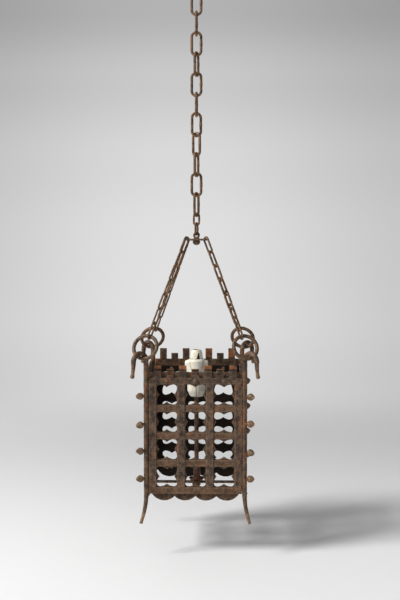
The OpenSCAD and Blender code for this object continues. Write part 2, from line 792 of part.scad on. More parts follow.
module stem_rod() {
    low = strap_z - stem_nut_h - stem_end;
    color("dimgray") translate([0, 0, low])
        cylinder(d = stem_d, h = holder_z + stem_socket - low - lap_gap);
}

module holder_base() {
    color("ivory") difference() {
        translate([0, 0, holder_z]) rotate_extrude() polygon([
            [0, 0], [foot_d / 2 - porcelain_bevel, 0], [foot_d / 2, porcelain_bevel],
            [base_d / 2 - porcelain_bevel / 2, base_taper_h],
            [base_d / 2, base_taper_h + porcelain_bevel],
            [base_d / 2, base_h - porcelain_bevel], [base_d / 2 - porcelain_bevel, base_h],
            [0, base_h]
        ]);
        translate([0, 0, holder_z - 1])
            cylinder(d = stem_d + 2 * stem_gap, h = stem_socket + 1);
        for (y = [-1, 1])
            translate([-groove_w / 2, y * base_d / 2 - groove_depth, holder_z - 1])
                cube([groove_w, 2 * groove_depth, base_h + 2]);
    }
}

// Upper porcelain, its collar and the screw shell: heights of their ends
body_z = holder_z + base_h + lap_gap;
mouth_z = body_z + body_h + mouth_h;
shell_z = mouth_z - shell_low - shell_h;

// A quarter round from the outside of a wall of radius r to its top at height z
function shoulder(r, z) =
    [for (t = [0 : 15 : 90])
        [r - shoulder_r + shoulder_r * cos(t), z - shoulder_r + shoulder_r * sin(t)]];

module arch() {
    translate([0, -arch_depth, body_z + arch_h]) rotate([-90, 0, 0])
        cylinder(d = arch_w, h = 2 * arch_depth);
    translate([-arch_w / 2, -arch_depth, body_z - 1])
        cube([arch_w, 2 * arch_depth, arch_h + 1]);
}

// A round body with a shoulder on each side, an arch between two legs in front and
// behind, a collar round the screw shell, a cut in the collar and a terminal arm
module holder_body() {
    ear_x = shoulder_w / 2 - ear_r;
    color("ivory") difference() {
        union() {
            translate([0, 0, body_z]) rotate_extrude() polygon(concat(
                [[0, 0], [body_d / 2, 0]], shoulder(body_d / 2, body_h),
                [[mouth_d / 2, body_h], [mouth_d / 2, body_h + mouth_h - mouth_r],
                    [mouth_d / 2 - mouth_r * 0.3, body_h + mouth_h - mouth_r * 0.3],
                    [mouth_d / 2 - mouth_r, body_h + mouth_h], [0, body_h + mouth_h]]
            ));
            for (x = [-ear_x, ear_x]) translate([x, 0, body_z]) rotate_extrude()
                polygon(concat(
                    [[0, ear_low], [ear_r - ear_low, ear_low], [ear_r, 2 * ear_low]],
                    shoulder(ear_r, body_h - ear_low), [[0, body_h - ear_low]]
                ));
            translate([-shoulder_w / 2 - arm_out, 0, body_z + arm_h]) {
                rotate([0, 90, 0]) cylinder(d = arm_d, h = shoulder_w / 2);
                sphere(d = arm_d);
            }
        }
        translate([0, 0, shell_z - lap_gap])
            cylinder(d = shell_d + 2 * lap_gap, h = shell_h + shell_low + 1);
        for (y = [-1, 1]) translate([0, y * body_d / 2, 0]) arch();
        translate([cut_x, -mouth_d / 2 - cut_w / 2, body_z + body_h]) rotate([-90, 0, 0])
            linear_extrude(mouth_d / 2)
                polygon([[-cut_w / 2, 0], [cut_w / 2, 0], [cut_w / 8, -cut_h]]);
    }
}

module screw_shell() {
    color("darkgoldenrod") translate([0, 0, shell_z]) difference() {
        cylinder(d = shell_d, h = shell_h);
        translate([0, 0, shell_floor]) cylinder(d = shell_in_d, h = shell_h);
    }
}

module centre_contact() {
    color("darkgoldenrod") translate([0, 0, shell_z + shell_floor]) union() {
        cylinder(d = contact_d, h = contact_h / 2);
        cylinder(d = contact_d / 2, h = contact_h);
    }
}

ceiling_plate();
ceiling_hook();
for (i = [1 : big_links])
    chain_link(i - 1);
for (i = [1 : small_links])
    chain_link(big_links + i - 1);
swivel_eye();
swivel_washer();
swivel_nut();
spreader_plate();
for (k = [0 : 3]) {
    bridle(k);
    ring(k);
    placed_post(k);
    sheet(k);
    rails(k);
    uprights(k);
    crossbars(k);
}
post_studs();
panel_rivets();
floor_strap_across();
floor_strap_deep();
stem_nut();
drip_pan();
stem_cup();
stem_rod();
holder_base();
holder_body();
screw_shell();
centre_contact();
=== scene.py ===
import math

import bpy
import numpy as np
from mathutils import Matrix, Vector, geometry


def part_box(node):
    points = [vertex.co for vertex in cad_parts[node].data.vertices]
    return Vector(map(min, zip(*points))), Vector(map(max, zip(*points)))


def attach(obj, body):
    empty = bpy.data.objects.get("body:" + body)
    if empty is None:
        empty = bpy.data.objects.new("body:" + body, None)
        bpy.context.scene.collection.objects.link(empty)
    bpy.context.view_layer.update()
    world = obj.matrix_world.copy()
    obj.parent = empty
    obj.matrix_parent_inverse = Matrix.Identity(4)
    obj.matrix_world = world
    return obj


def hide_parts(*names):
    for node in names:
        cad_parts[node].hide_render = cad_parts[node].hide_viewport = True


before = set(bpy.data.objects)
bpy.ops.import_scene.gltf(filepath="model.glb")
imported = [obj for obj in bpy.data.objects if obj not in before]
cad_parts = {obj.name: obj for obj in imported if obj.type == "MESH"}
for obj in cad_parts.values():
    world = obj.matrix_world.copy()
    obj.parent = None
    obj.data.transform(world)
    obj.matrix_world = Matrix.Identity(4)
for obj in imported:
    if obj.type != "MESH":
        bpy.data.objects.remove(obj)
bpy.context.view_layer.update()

# Lengths are in millimetres down to makePiece, which turns them to metres.
# The numbers of the lantern are those of the CAD part.


def nodeBox(node):
    low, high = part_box(node)
    return np.array(low) * 1000, np.array(high) * 1000


# ---- materials

def linear(hexColour):  # sRGB hex to the linear colour that a socket takes
    part = np.array([int(hexColour[i:i + 2], 16) / 255 for i in (1, 3, 5)])
    value = np.where(part <= 0.04045, part / 12.92, ((part + 0.055) / 1.055) ** 2.4)
    return (*value.tolist(), 1.0)


def addNode(tree, kind, inputs=None, **settings):
    node = tree.nodes.new(kind)
    for name, value in settings.items():
        setattr(node, name, value)
    for key, value in (inputs or {}).items():
        if isinstance(value, bpy.types.NodeSocket):
            tree.links.new(value, node.inputs[key])
        else:
            node.inputs[key].default_value = value
    return node


def newMaterial(name):
    material = bpy.data.materials.new(name)
    material.use_nodes = True
    material.node_tree.nodes.clear()
    tree = material.node_tree
    return material, tree, addNode(tree, "ShaderNodeTexCoord").outputs["Object"]


def noise(tree, place, sizeMm, detail=4, roughness=0.6, distortion=0.0):
    return addNode(tree, "ShaderNodeTexNoise", {
        "Vector": place, "Scale": 1000 / sizeMm, "Detail": detail,
        "Roughness": roughness, "Distortion": distortion}).outputs["Fac"]


def band(tree, value, low, high, least=0.0, most=1.0):  # a soft step between two values
    return addNode(tree, "ShaderNodeMapRange", {
        "Value": value, "From Min": low, "From Max": high, "To Min": least, "To Max": most},
        interpolation_type="SMOOTHSTEP").outputs["Result"]


def blend(tree, factor, first, second):
    first, second = (linear(c) if isinstance(c, str) else c for c in (first, second))
    return addNode(tree, "ShaderNodeMix", {0: factor, 6: first, 7: second},
                   data_type="RGBA").outputs[2]


def combine(tree, operation, first, second):
    return addNode(tree, "ShaderNodeMath", {0: first, 1: second},
                   operation=operation).outputs[0]


def finishSurface(tree, shader, bumps):
    # bumps is a list of (height, distance in mm, strength), the broadest first
    normal = None
    for height, distanceMm, strength in bumps:
        inputs = {"Height": height, "Distance": distanceMm / 1000, "Strength": strength}
        if normal is not None:
            inputs["Normal"] = normal
        normal = addNode(tree, "ShaderNodeBump", inputs).outputs["Normal"]
    surface = addNode(tree, "ShaderNodeBsdfPrincipled", {**shader, "Normal": normal})
    addNode(tree, "ShaderNodeOutputMaterial", {"Surface": surface.outputs[0]})


def ironMaterial(name, look):
    # Old iron that was forged hot and has rusted indoors: a dark scale skin, brown rust
    # in patches, orange rust where damp stood, pale specks of dust, and edges and high
    # spots rubbed back to dull metal. The wear attribute of a piece says where it is rubbed.
    # The soot mark paints soot with painted shade, and the damp mark paints orange rust with
    # painted light on the merlon caps and a painted shadow line under them.
    material, tree, place = newMaterial(name)
    broad = noise(tree, place, look["patchMm"])
    middle = noise(tree, place, look["patchMm"] * 0.37, 5, 0.65)
    skin = blend(tree, band(tree, broad, 0.36, 0.64), look["dark"], look["brown"])
    rustShare = band(tree, noise(tree, place, look["rustMm"], 6, 0.66, 0.4),
                     *look["rustBand"], most=look["rustMost"])
    rust = blend(tree, band(tree, middle, 0.4, 0.62), look["rust"], look["orange"])
    skin = blend(tree, rustShare, skin, rust)
    warmMap = addNode(tree, "ShaderNodeAttribute", attribute_name="warm").outputs["Fac"]
    warmth = combine(tree, "MULTIPLY", warmMap, band(tree, middle, 0.36, 0.6, 0.25, 1.3))
    skin = blend(tree, warmth, skin, look["tan"])
    # Damp stood where the damp mark says and left orange rust, which on the merlon caps is also
    # painted light; the dark tide line under it is painted shadow
    dampAndCapLightMap = addNode(tree, "ShaderNodeAttribute", attribute_name="dampAndCapLight").outputs["Fac"]
    capShadowLine = combine(tree, "MULTIPLY", band(tree, dampAndCapLightMap, 0.05, 0.25),
                   band(tree, dampAndCapLightMap, 0.35, 0.55, 0.8, 0))
    skin = blend(tree, capShadowLine, skin, look["sootAndShade"])
    patch = band(tree, noise(tree, place, look["rustMm"] * 0.6, 4), 0.36, 0.6, 0.25, 0.9)
    dampAndCapLight = combine(tree, "MULTIPLY", band(tree, dampAndCapLightMap, 0.35, 0.6), patch)
    skin = blend(tree, dampAndCapLight, skin, look["orange"])
    grime = band(tree, noise(tree, place, look["patchMm"] * 0.6, 6, 0.7), 0.52, 0.72, most=0.75)
    skin = blend(tree, grime, skin, look["grime"])
    specks = band(tree, noise(tree, place, look["speckMm"], 2, 0.5), 0.6, 0.74,
                  most=look["speckMost"])
    skin = blend(tree, specks, skin, look["dust"])
    wearMap = addNode(tree, "ShaderNodeAttribute", attribute_name="wear").outputs["Fac"]
    breaks = band(tree, noise(tree, place, look["wearMm"], 4, 0.7), 0.34, 0.58,
                  most=look["wearMost"])
    rubbed = combine(tree, "MULTIPLY", wearMap, breaks)
    skin = blend(tree, rubbed, skin, look["worn"])
    # Near-black where the soot mark says: soot, and painted shade inside the lantern and on the top
    # rail's teeth
    sootAndShadeMap = addNode(tree, "ShaderNodeAttribute", attribute_name="sootAndShade").outputs["Fac"]
    skin = blend(tree, combine(tree, "MULTIPLY", sootAndShadeMap, 0.93), skin, look["sootAndShade"])
    rough = band(tree, middle, 0.3, 0.7, *look["rough"])
    rough = combine(tree, "SUBTRACT", rough, combine(tree, "MULTIPLY", rubbed, 0.2))
    metal = combine(tree, "ADD", combine(tree, "MULTIPLY", rubbed, 0.45), look["metal"])
    pits = noise(tree, place, look["pitMm"], 3, 0.6)
    finishSurface(tree, {
        "Base Color": skin, "Roughness": rough, "Metallic": metal,
        "Specular IOR Level": look["specular"],
    }, [(broad, look["patchMm"] * 0.09, 0.6), (middle, 0.9, 0.8), (pits, 0.3, 0.8)])
    return material


ironColours = {
    "dark": "#2c221a", "brown": "#624e3d", "rust": "#6f4a30", "orange": "#8e5632",
    "grime": "#1a120d", "dust": "#a08d77", "worn": "#927c66", "sootAndShade": "#0d0805",
    "tan": "#744f31", "specular": 0.4,
    "patchMm": 12, "rustMm": 26, "rustBand": (0.5, 0.68), "rustMost": 0.75,
    "speckMm": 1.7, "speckMost": 0.4, "wearMm": 6, "wearMost": 0.6,
    "pitMm": 0.9, "rough": (0.5, 0.8), "metal": 0.12,
}
paints = {
    "wrought_iron": ironMaterial("forgedFlatIron", ironColours),
    "rusted_sheet": ironMaterial("rustedIronSheet", ironColours | {
        "dark": "#3a2e24", "brown": "#5e4a3a", "rust": "#6b442b", "orange": "#a06035",
        "rustBand": (0.5, 0.68), "rustMost": 0.7, "wearMost": 0.6, "specular": 0.15}),
    "forged_round": ironMaterial("forgedRoundIron", ironColours | {
        "dark": "#3b2c1f", "brown": "#664c35", "patchMm": 12, "rustBand": (0.5, 0.68),
        "worn": "#a98a67", "wearMost": 0.75, "rough": (0.4, 0.68), "specular": 0.45}),
    "chain_iron": ironMaterial("weldedChainIron", ironColours | {
        "dark": "#443223", "brown": "#745638", "patchMm": 9, "rustMm": 18,
        "worn": "#9c8062", "wearMost": 0.7, "rough": (0.42, 0.7), "pitMm": 0.7}),
    "rusted_pan": ironMaterial("rustedPressedSheet", ironColours | {
        "dark": "#3c2c21", "brown": "#61422e", "rust": "#7c4b2a", "rustBand": (0.44, 0.6)}),
}


def brassMaterial(name):
    # Rolled brass, dulled to brown with a little shine left on the crests
    material, tree, place = newMaterial(name)
    tarnish = noise(tree, place, 5, 5, 0.65)
    spots = noise(tree, place, 1.1, 3, 0.6)
    skin = blend(tree, band(tree, tarnish, 0.38, 0.62), "#8a7040", "#54432a")
    skin = blend(tree, band(tree, spots, 0.6, 0.72, most=0.6), skin, "#33291c")
    finishSurface(tree, {
        "Base Color": skin, "Metallic": 0.85,
        "Roughness": band(tree, tarnish, 0.3, 0.7, 0.34, 0.6),
    }, [(tarnish, 0.15, 0.4), (spots, 0.1, 0.4)])
    return material


def porcelainMaterial(name):
    # Cream porcelain under a clear glaze: soft yellowing in clouds, brown grime where dust
    # settles, grime with painted shade in the recesses (the grime attribute), and dark metal
    # with painted shade behind the cut
    material, tree, place = newMaterial(name)
    clouds = noise(tree, place, 22, 3, 0.55)
    stains = noise(tree, place, 7, 6, 0.7, 0.5)
    specks = noise(tree, place, 1.3, 2, 0.5)
    skin = blend(tree, band(tree, clouds, 0.35, 0.68), "#faf7ed", "#ece4cd")
    skin = blend(tree, band(tree, stains, 0.56, 0.74, most=0.35), skin, "#b59f7c")
    skin = blend(tree, band(tree, specks, 0.68, 0.78, most=0.35), skin, "#8d7656")
    grimeAndShadeMap = addNode(tree, "ShaderNodeAttribute", attribute_name="grime").outputs["Fac"]
    dirtAndShade = combine(tree, "MULTIPLY", grimeAndShadeMap, band(tree, stains, 0.3, 0.6, 0.45, 1))
    skin = blend(tree, dirtAndShade, skin, "#6a5238")
    # The cut's floor is painted dark: metal, darkened as painted shade of the opening
    cutMetalAndShadeMap = addNode(tree, "ShaderNodeAttribute", attribute_name="metal").outputs["Fac"]
    skin = blend(tree, cutMetalAndShadeMap, skin, "#2e2822")
    finishSurface(tree, {
        "Base Color": skin, "Roughness": band(tree, stains, 0.3, 0.75, 0.16, 0.42),
        "Coat Weight": 0.5, "Coat Roughness": 0.12, "Subsurface Weight": 0.08,
        "Subsurface Radius": (0.004, 0.003, 0.002), "Subsurface Scale": 0.5,
    }, [(clouds, 0.4, 0.3), (specks, 0.06, 0.3)])
    return material


paints["brass"] = brassMaterial("agedRolledBrass")
paints["porcelain"] = porcelainMaterial("glazedCreamPorcelain")
print("materials made:", sorted(paints))


# ---- shells: dictionaries of points, quads, triangles and per-point marks

def waves(points, lengthMm, seed, count=10):
    # Smooth unevenness from about -1 to 1: the sum of sine waves that run in seeded
    # random directions, with wavelengths spread about the given length
    chance = np.random.default_rng(seed)
    direction = chance.normal(size=(count, 3))
    direction /= np.linalg.norm(direction, axis=1)[:, None]
    turns = 2 * np.pi / (lengthMm * chance.uniform(0.7, 1.4, count))
    phase = chance.uniform(0, 2 * np.pi, count)
    return np.sin(points @ (direction * turns[:, None]).T + phase).sum(-1) / (0.9 * count ** 0.5 * 1.5)


def gridQuads(rows, columns, closeRows=False, closeColumns=True):
    r, c = np.meshgrid(np.arange(rows if closeRows else rows - 1),
                       np.arange(columns if closeColumns else columns - 1), indexing="ij")
    r2, c2 = (r + 1) % rows, (c + 1) % columns
    return np.stack([r * columns + c, r * columns + c2, r2 * columns + c2,
                     r2 * columns + c], -1).reshape(-1, 4)


def fan(ring, centre, forward):  # triangles from a closed ring of points to one point
    after = np.roll(ring, -1)
    first, second = (ring, after) if forward else (after, ring)
    return np.stack([first, second, np.full(len(ring), centre)], -1)


def gridShell(points, wear, closeRows=False, **marks):
    # points is rows x columns x 3, closed round the columns. Open ends are shut by a fan
    # to the middle of the end ring.
    rows, columns = points.shape[:2]
    wear = np.broadcast_to(wear, (rows, columns)).reshape(-1)
    flat = points.reshape(-1, 3)
    quads = gridQuads(rows, columns, closeRows)
    triangles = np.zeros((0, 3), int)
    extra = {k: np.broadcast_to(v, (rows, columns)).reshape(-1) for k, v in marks.items()}
    if not closeRows:
        count = rows * columns
        flat = np.vstack([flat, points[0].mean(0), points[-1].mean(0)])
        triangles = np.vstack([fan(np.arange(columns), count, False),
                               fan(np.arange(count - columns, count), count + 1, True)])
        wear = np.r_[wear, wear[:columns].mean(), wear[-columns:].mean()]
        extra = {k: np.r_[v, v[:columns].mean(), v[-columns:].mean()] for k, v in extra.items()}
    return {"points": flat, "quads": quads, "triangles": triangles, "wear": wear, **extra}


def moved(shell, matrix=None, offset=(0, 0, 0)):
    points = shell["points"] if matrix is None else shell["points"] @ np.asarray(matrix).T
    return shell | {"points": points + np.asarray(offset, float)}


def outward(shell):  # turns the faces round if the shell's signed volume is negative
    triangles = np.vstack([shell["triangles"], shell["quads"][:, [0, 1, 2]],
                           shell["quads"][:, [0, 2, 3]]])
    a, b, c = (shell["points"][triangles[:, k]] for k in range(3))
    if (a * np.cross(b, c)).sum() < 0:
        return shell | {"quads": shell["quads"][:, ::-1],
                        "triangles": shell["triangles"][:, ::-1]}
    return shell


def makePiece(name, shells, body, nodes, paint):
    shells = [outward(s) for s in shells]
    start = np.cumsum([0] + [len(s["points"]) for s in shells])
    points = np.vstack([s["points"] for s in shells]) / 1000
    quads = np.vstack([s["quads"] + k for s, k in zip(shells, start)])
    triangles = np.vstack([s["triangles"] + k for s, k in zip(shells, start)])
    mesh = bpy.data.meshes.new(name)
    mesh.from_pydata(points.tolist(), [], quads.tolist() + triangles.tolist())
    for mark in ("wear", "grime", "metal", "sootAndShade", "warm", "dampAndCapLight"):
        if any(mark in s for s in shells):
            value = np.concatenate([s.get(mark, np.zeros(len(s["points"]))) for s in shells])
            mesh.attributes.new(mark, "FLOAT", "POINT").data.foreach_set(
                "value", np.clip(value, 0, 1).astype(np.float32))
    # Normals weighted by face area keep flats flat beside their rounded edges
    normals = np.zeros_like(points)
    a, b, c, d = (points[quads[:, k]] for k in range(4))
    area = np.cross(c - a, d - b)
    for k in range(4):
        np.add.at(normals, quads[:, k], area)
    a, b, c = (points[triangles[:, k]] for k in range(3))
    area = np.cross(b - a, c - a)
    for k in range(3):
        np.add.at(normals, triangles[:, k], area)
    normals /= np.maximum(np.linalg.norm(normals, axis=1), 1e-20)[:, None]
    mesh.polygons.foreach_set("use_smooth", np.ones(len(mesh.polygons), bool))
    mesh.normals_split_custom_set_from_vertices(normals.tolist())
    mesh.materials.append(paints[paint])
    piece = bpy.data.objects.new(name, mesh)
    bpy.context.scene.collection.objects.link(piece)
    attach(piece, body)
    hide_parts(*nodes)
    return piece


def smoothStep(value):
    value = np.clip(value, 0, 1)
    return value * value * (3 - 2 * value)


def unit(vectors):
    return vectors / np.maximum(np.linalg.norm(vectors, axis=-1, keepdims=True), 1e-12)


def sweep(centres, across, profiles, closed=False, wear=0.0, roughMm=0.0, waveMm=10, seed=1):
    # A bar: a profile of (sideways, across) pairs is carried along a flat line of centres,
    # whose plane stands square to the vector across. profiles is one profile or one for
    # each centre. Smooth unevenness moves its skin in and out.
    centres, across = np.asarray(centres, float), np.asarray(across, float)
    along = np.roll(centres, -1, 0) - np.roll(centres, 1, 0)
    if not closed:
        along[0], along[-1] = centres[1] - centres[0], centres[-1] - centres[-2]
    sideways = unit(np.cross(across, along))
    profiles = np.broadcast_to(profiles, (len(centres), *np.shape(profiles)[-2:]))
    points = (centres[:, None] + profiles[..., :1] * sideways[:, None]
              + profiles[..., 1:] * across)
    if roughMm:
        bump = waves(points, waveMm, seed)
        points = points + unit(points - centres[:, None]) * (roughMm * bump)[..., None]
        wear = wear + np.clip(bump - 0.35, 0, 1) * 0.6
    return gridShell(points, wear, closeRows=closed)


def circleProfiles(radii, sides):
    t = np.linspace(0, 2 * np.pi, sides, endpoint=False)
    return np.asarray(radii)[:, None, None] * np.stack([np.cos(t), np.sin(t)], -1)


def barProfile(width, thickness, edge, inset=0.0):
    # A rectangle with rounded edges. Its wide faces lie along the profile's second axis.
    turn = np.linspace(0, np.pi / 2, 4)
    half = np.array([thickness / 2, width / 2]) - edge
    r = max(edge - inset, 0.05)
    shift = inset if inset > edge else 0.0
    corner = np.stack([np.cos(turn), np.sin(turn)], -1) * r + half - shift
    steps = np.linspace(-1, 1, 7)[1:-1, None]
    right = corner
    left = corner[::-1] * [-1, 1]
    lowLeft, lowRight = -corner, left * [-1, -1]
    wide = np.hstack([np.full_like(steps, half[0] - shift + r), steps * (half[1] - shift)])
    return np.vstack([wide, right, left, wide * [-1, -1], lowLeft, lowRight])


barWear = 0.6 * np.r_[np.zeros(5), np.ones(8), np.zeros(5), np.ones(8)]


def flatBar(start, end, width, thickness, across, edge=0.9, seed=1, roughMm=0.18, stepMm=4):
    # A forged flat bar between two points, with its width along the vector across, rounded
    # edges and eased ends
    start, end = np.asarray(start, float), np.asarray(end, float)
    length = np.linalg.norm(end - start)
    ease = edge * (1 - np.cos(np.linspace(0, np.pi / 2, 4)))
    middle = np.linspace(edge, length - edge, max(3, int(length / stepMm)))[1:-1]
    at = np.r_[ease, middle, length - ease[::-1]]
    fromEnd = np.minimum(np.minimum(at, length - at), edge)
    inset = edge - np.sqrt(np.maximum(edge ** 2 - (edge - fromEnd) ** 2, 0))
    profiles = np.stack([barProfile(width, thickness, edge, i) for i in inset])
    centres = start + (end - start) * (at / length)[:, None]
    centres = centres + np.outer(0.3 * waves(centres, 60, seed + 50), np.cross(
        unit(end - start), across)) * (fromEnd / edge)[:, None]
    wear = np.maximum(barWear[None], (fromEnd < edge)[:, None] * 1.0)
    return sweep(centres, across, profiles, wear=wear, roughMm=roughMm, waveMm=9, seed=seed)


def roundBar(centres, radii, across, closed=False, sides=20, seed=1, roughMm=0.15,
             waveMm=9, wear=0.0):
    # A round bar along a flat line of centres. Open ends are rounded off by rings that
    # shrink along a quarter circle.
    centres, radii = np.asarray(centres, float), np.broadcast_to(radii, len(centres)) * 1.0
    if not closed:
        turn = np.linspace(0, np.pi / 2, 6)[1:] * 0.97
        first, last = unit(centres[0] - centres[1]), unit(centres[-1] - centres[-2])
        head = centres[0] + first * (radii[0] * 0.7 * np.sin(turn))[::-1, None]
        tail = centres[-1] + last * (radii[-1] * 0.7 * np.sin(turn))[:, None]
        wear = np.broadcast_to(wear, len(centres))
        wear = np.r_[np.full(5, wear[0]), wear, np.full(5, wear[-1])]
        centres = np.vstack([head, centres, tail])
        radii = np.r_[radii[0] * np.cos(turn)[::-1], radii, radii[-1] * np.cos(turn)]
    wear = np.broadcast_to(wear, len(centres))[:, None]
    return sweep(centres, across, circleProfiles(radii, sides), closed, wear, roughMm,
                 waveMm, seed)


def turned(profile, sides=64, closed=False, wear=None, roughMm=0.0, waveMm=9, seed=1):
    # A turned or pressed form: (radius, height) pairs go round the Z axis
    profile = np.asarray(profile, float)
    t = np.linspace(0, 2 * np.pi, sides, endpoint=False)
    r, z = profile[:, :1], profile[:, 1:]
    points = np.stack([r * np.cos(t), r * np.sin(t), z + 0 * t], -1)
    wear = 0.0 if wear is None else np.asarray(wear)[:, None]
    if roughMm:
        bump = waves(points, waveMm, seed) * roughMm
        points[..., 0] += bump * np.cos(t)
        points[..., 1] += bump * np.sin(t)
        wear = wear + np.clip(bump / roughMm - 0.35, 0, 1) * 0.6
    return gridShell(points, wear, closeRows=closed)


def softened(profile, radius, steps=4, closed=False):
    # Rounds the corners of a profile by a quadratic curve through each corner's mid points
    profile = np.asarray(profile, float)
    before = profile - np.roll(profile, 1, 0)
    after = np.roll(profile, -1, 0) - profile
    cut = [np.minimum(radius, 0.45 * np.linalg.norm(e, axis=1))[:, None] for e in (before, after)]
    first, last = profile - unit(before) * cut[0], profile + unit(after) * cut[1]
    s = np.linspace(0, 1, steps)[None, :, None]
    curve = (1 - s) ** 2 * first[:, None] + 2 * s * (1 - s) * profile[:, None] + s ** 2 * last[:, None]
    if closed:
        return curve.reshape(-1, 2)
    return np.vstack([profile[:1], curve[1:-1].reshape(-1, 2), profile[-1:]])


def denseLoop(loop, stepMm):  # adds points along the long edges of a closed outline
    following = np.roll(loop, -1, 0)
    count = np.maximum(1, np.ceil(np.linalg.norm(following - loop, axis=1) / stepMm).astype(int))
    which = np.repeat(np.arange(len(loop)), count)
    part = (np.arange(count.sum()) - np.repeat(np.cumsum(count) - count, count)) / count[which]
    return loop[which] + (following - loop)[which] * part[:, None]


def insetLoop(loop, distance):  # moves an outline to its left, which is into the metal
    left = unit(loop - np.roll(loop, 1, 0)) @ [[0, 1], [-1, 0]]
    right = unit(np.roll(loop, -1, 0) - loop) @ [[0, 1], [-1, 0]]
    middle = unit(left + right)
    reach = 1 / np.clip((middle * left).sum(1), 0.5, 1)
    return loop + middle * (distance * reach)[:, None]


def inside(points, loop):  # even-odd rule
    a, b = loop, np.roll(loop, -1, 0)
    x, y = points[:, :1], points[:, 1:]
    crosses = (a[:, 1] > y) != (b[:, 1] > y)
    rise = np.where(b[:, 1] == a[:, 1], 1e-9, b[:, 1] - a[:, 1])
    return (crosses & (x < (b[:, 0] - a[:, 0]) * (y - a[:, 1]) / rise + a[:, 0])).sum(1) % 2 == 1


def area(loop):
    following = np.roll(loop, -1, 0)
    return (loop[:, 0] * following[:, 1] - loop[:, 1] * following[:, 0]).sum() / 2


def cutPlate(outer, holes, thickness, edge=0.5, stepMm=4, seed=1, roughMm=0.12, warpMm=0.3,
             ragMm=0.15):
    # A flat plate with holes. Every outline is carried round a rounded edge from the front
    # face to the back, and both faces are filled with triangles between the outlines and an
    # even net of points, so that hammering can move them. u and v lie in the plate, and
    # depth runs from its front face at 0 to its back.
    loops = [denseLoop(np.asarray(p, float), stepMm) for p in [outer, *holes]]
    loops = [p if (area(p) > 0) == (k == 0) else p[::-1] for k, p in enumerate(loops)]
    loops = [p + ragMm * np.stack([waves(np.c_[p, p[:, :1] * 0], 11, seed + 7),
                                   waves(np.c_[p, p[:, :1] * 0], 11, seed + 8)], -1)
             for p in loops]
    turn = np.linspace(0, np.pi / 2, 4)
    inset = edge * (1 - np.sin(turn))
    depth = edge * (1 - np.cos(turn))
    inset, depth = np.r_[inset, inset[::-1]], np.r_[depth, thickness - depth[::-1]]
    rims = np.concatenate([np.stack([insetLoop(p, i) for i in inset]) for p in loops], axis=1)
    stations, around = rims.shape[:2]
    sizes = [len(p) for p in loops]
    firsts = np.cumsum([0] + sizes[:-1])
    quads = np.vstack([
        np.stack([r * around + f + c, r * around + f + (c + 1) % n,
                  (r + 1) * around + f + (c + 1) % n, (r + 1) * around + f + c], -1).reshape(-1, 4)
        for f, n in zip(firsts, sizes)
        for r, c in [np.meshgrid(np.arange(stations - 1), np.arange(n), indexing="ij")]])
    edgeLoops = [rims[0][f:f + n] for f, n in zip(firsts, sizes)]
    low, high = rims[0].min(0), rims[0].max(0)
    u, v = np.meshgrid(np.arange(low[0], high[0], stepMm),
                       np.arange(low[1], high[1], stepMm * 0.87), indexing="ij")
    u = u + (np.arange(u.shape[1]) % 2) * stepMm / 2
    net = np.c_[u.ravel(), v.ravel()]
    net = net[inside(net, edgeLoops[0])]
    for hole in edgeLoops[1:]:
        net = net[~inside(net, hole)]
    gap = np.linalg.norm(net[:, None] - rims[0][None], axis=2).min(1)
    net, gap = net[gap > stepMm * 0.55], gap[gap > stepMm * 0.55]
    flat = np.vstack([rims[0], net])
    edges = np.vstack([np.stack([f + np.arange(n), f + (np.arange(n) + 1) % n], -1)
                       for f, n in zip(firsts, sizes)])
    found = geometry.delaunay_2d_cdt(flat.tolist(), edges.tolist(), [], 0, 1e-7)
    origin = np.array([o[0] if o else -1 for o in found[3]])
    faces = origin[np.array([f for f in found[2] if len(f) == 3])]
    faces = faces[(faces >= 0).all(1)]
    middle = flat[faces].mean(1)
    keep = inside(middle, edgeLoops[0])
    for hole in edgeLoops[1:]:
        keep &= ~inside(middle, hole)
    faces = faces[keep]
    a, b, c = (flat[faces[:, k]] for k in range(3))
    spin = (b - a)[:, 0] * (c - a)[:, 1] - (b - a)[:, 1] * (c - a)[:, 0]
    faces[spin < 0] = faces[spin < 0][:, ::-1]
    rimCount = stations * around
    frontIndex = np.r_[np.arange(around), rimCount + np.arange(len(net))]
    backIndex = np.r_[(stations - 1) * around + np.arange(around),
                      rimCount + len(net) + np.arange(len(net))]
    points = np.vstack([
        np.dstack([rims, np.broadcast_to(depth[:, None, None], (stations, around, 1))]).reshape(-1, 3),
        np.c_[net, np.zeros(len(net))], np.c_[net, np.full(len(net), thickness)]])
    still = np.c_[points[:, :2], np.zeros(len(points))]
    bump = waves(points, 9, seed)
    facing = np.where(points[:, 2] < thickness / 2, -1, 1)
    points[:, 2] += warpMm * waves(still, 70, seed + 1) + facing * roughMm * bump
    rimWear = np.broadcast_to(np.r_[0.4, 0.6, 0.6, 0.5, 0.5, 0.5, 0.5, 0.4][:, None],
                              (stations, around))
    wear = np.r_[rimWear.ravel(), np.tile(np.clip(1 - gap / 3.2, 0, 1) * 0.3, 2)]
    wear = wear + np.clip(bump - 0.35, 0, 1) * 0.5
    return {"points": points, "quads": quads, "wear": wear,
            "triangles": np.vstack([frontIndex[faces][:, ::-1], backIndex[faces]])}


def placed(shell, u, v, depth, origin):  # lays a plate's u, v and depth along three directions
    return moved(shell, np.array([u, v, depth], float).T, origin)


def turnZ(degrees):
    a = math.radians(degrees)
    return np.array([[math.cos(a), -math.sin(a), 0], [math.sin(a), math.cos(a), 0], [0, 0, 1]])


def turnY(degrees):
    a = math.radians(degrees)
    return np.array([[math.cos(a), 0, math.sin(a)], [0, 1, 0], [-math.sin(a), 0, math.cos(a)]])


def disc(radius, count=96, centre=(0, 0)):
    t = np.linspace(0, 2 * np.pi, count, endpoint=False)
    return np.c_[centre[0] + radius * np.cos(t), centre[1] + radius * np.sin(t)]


# ---- the four sides

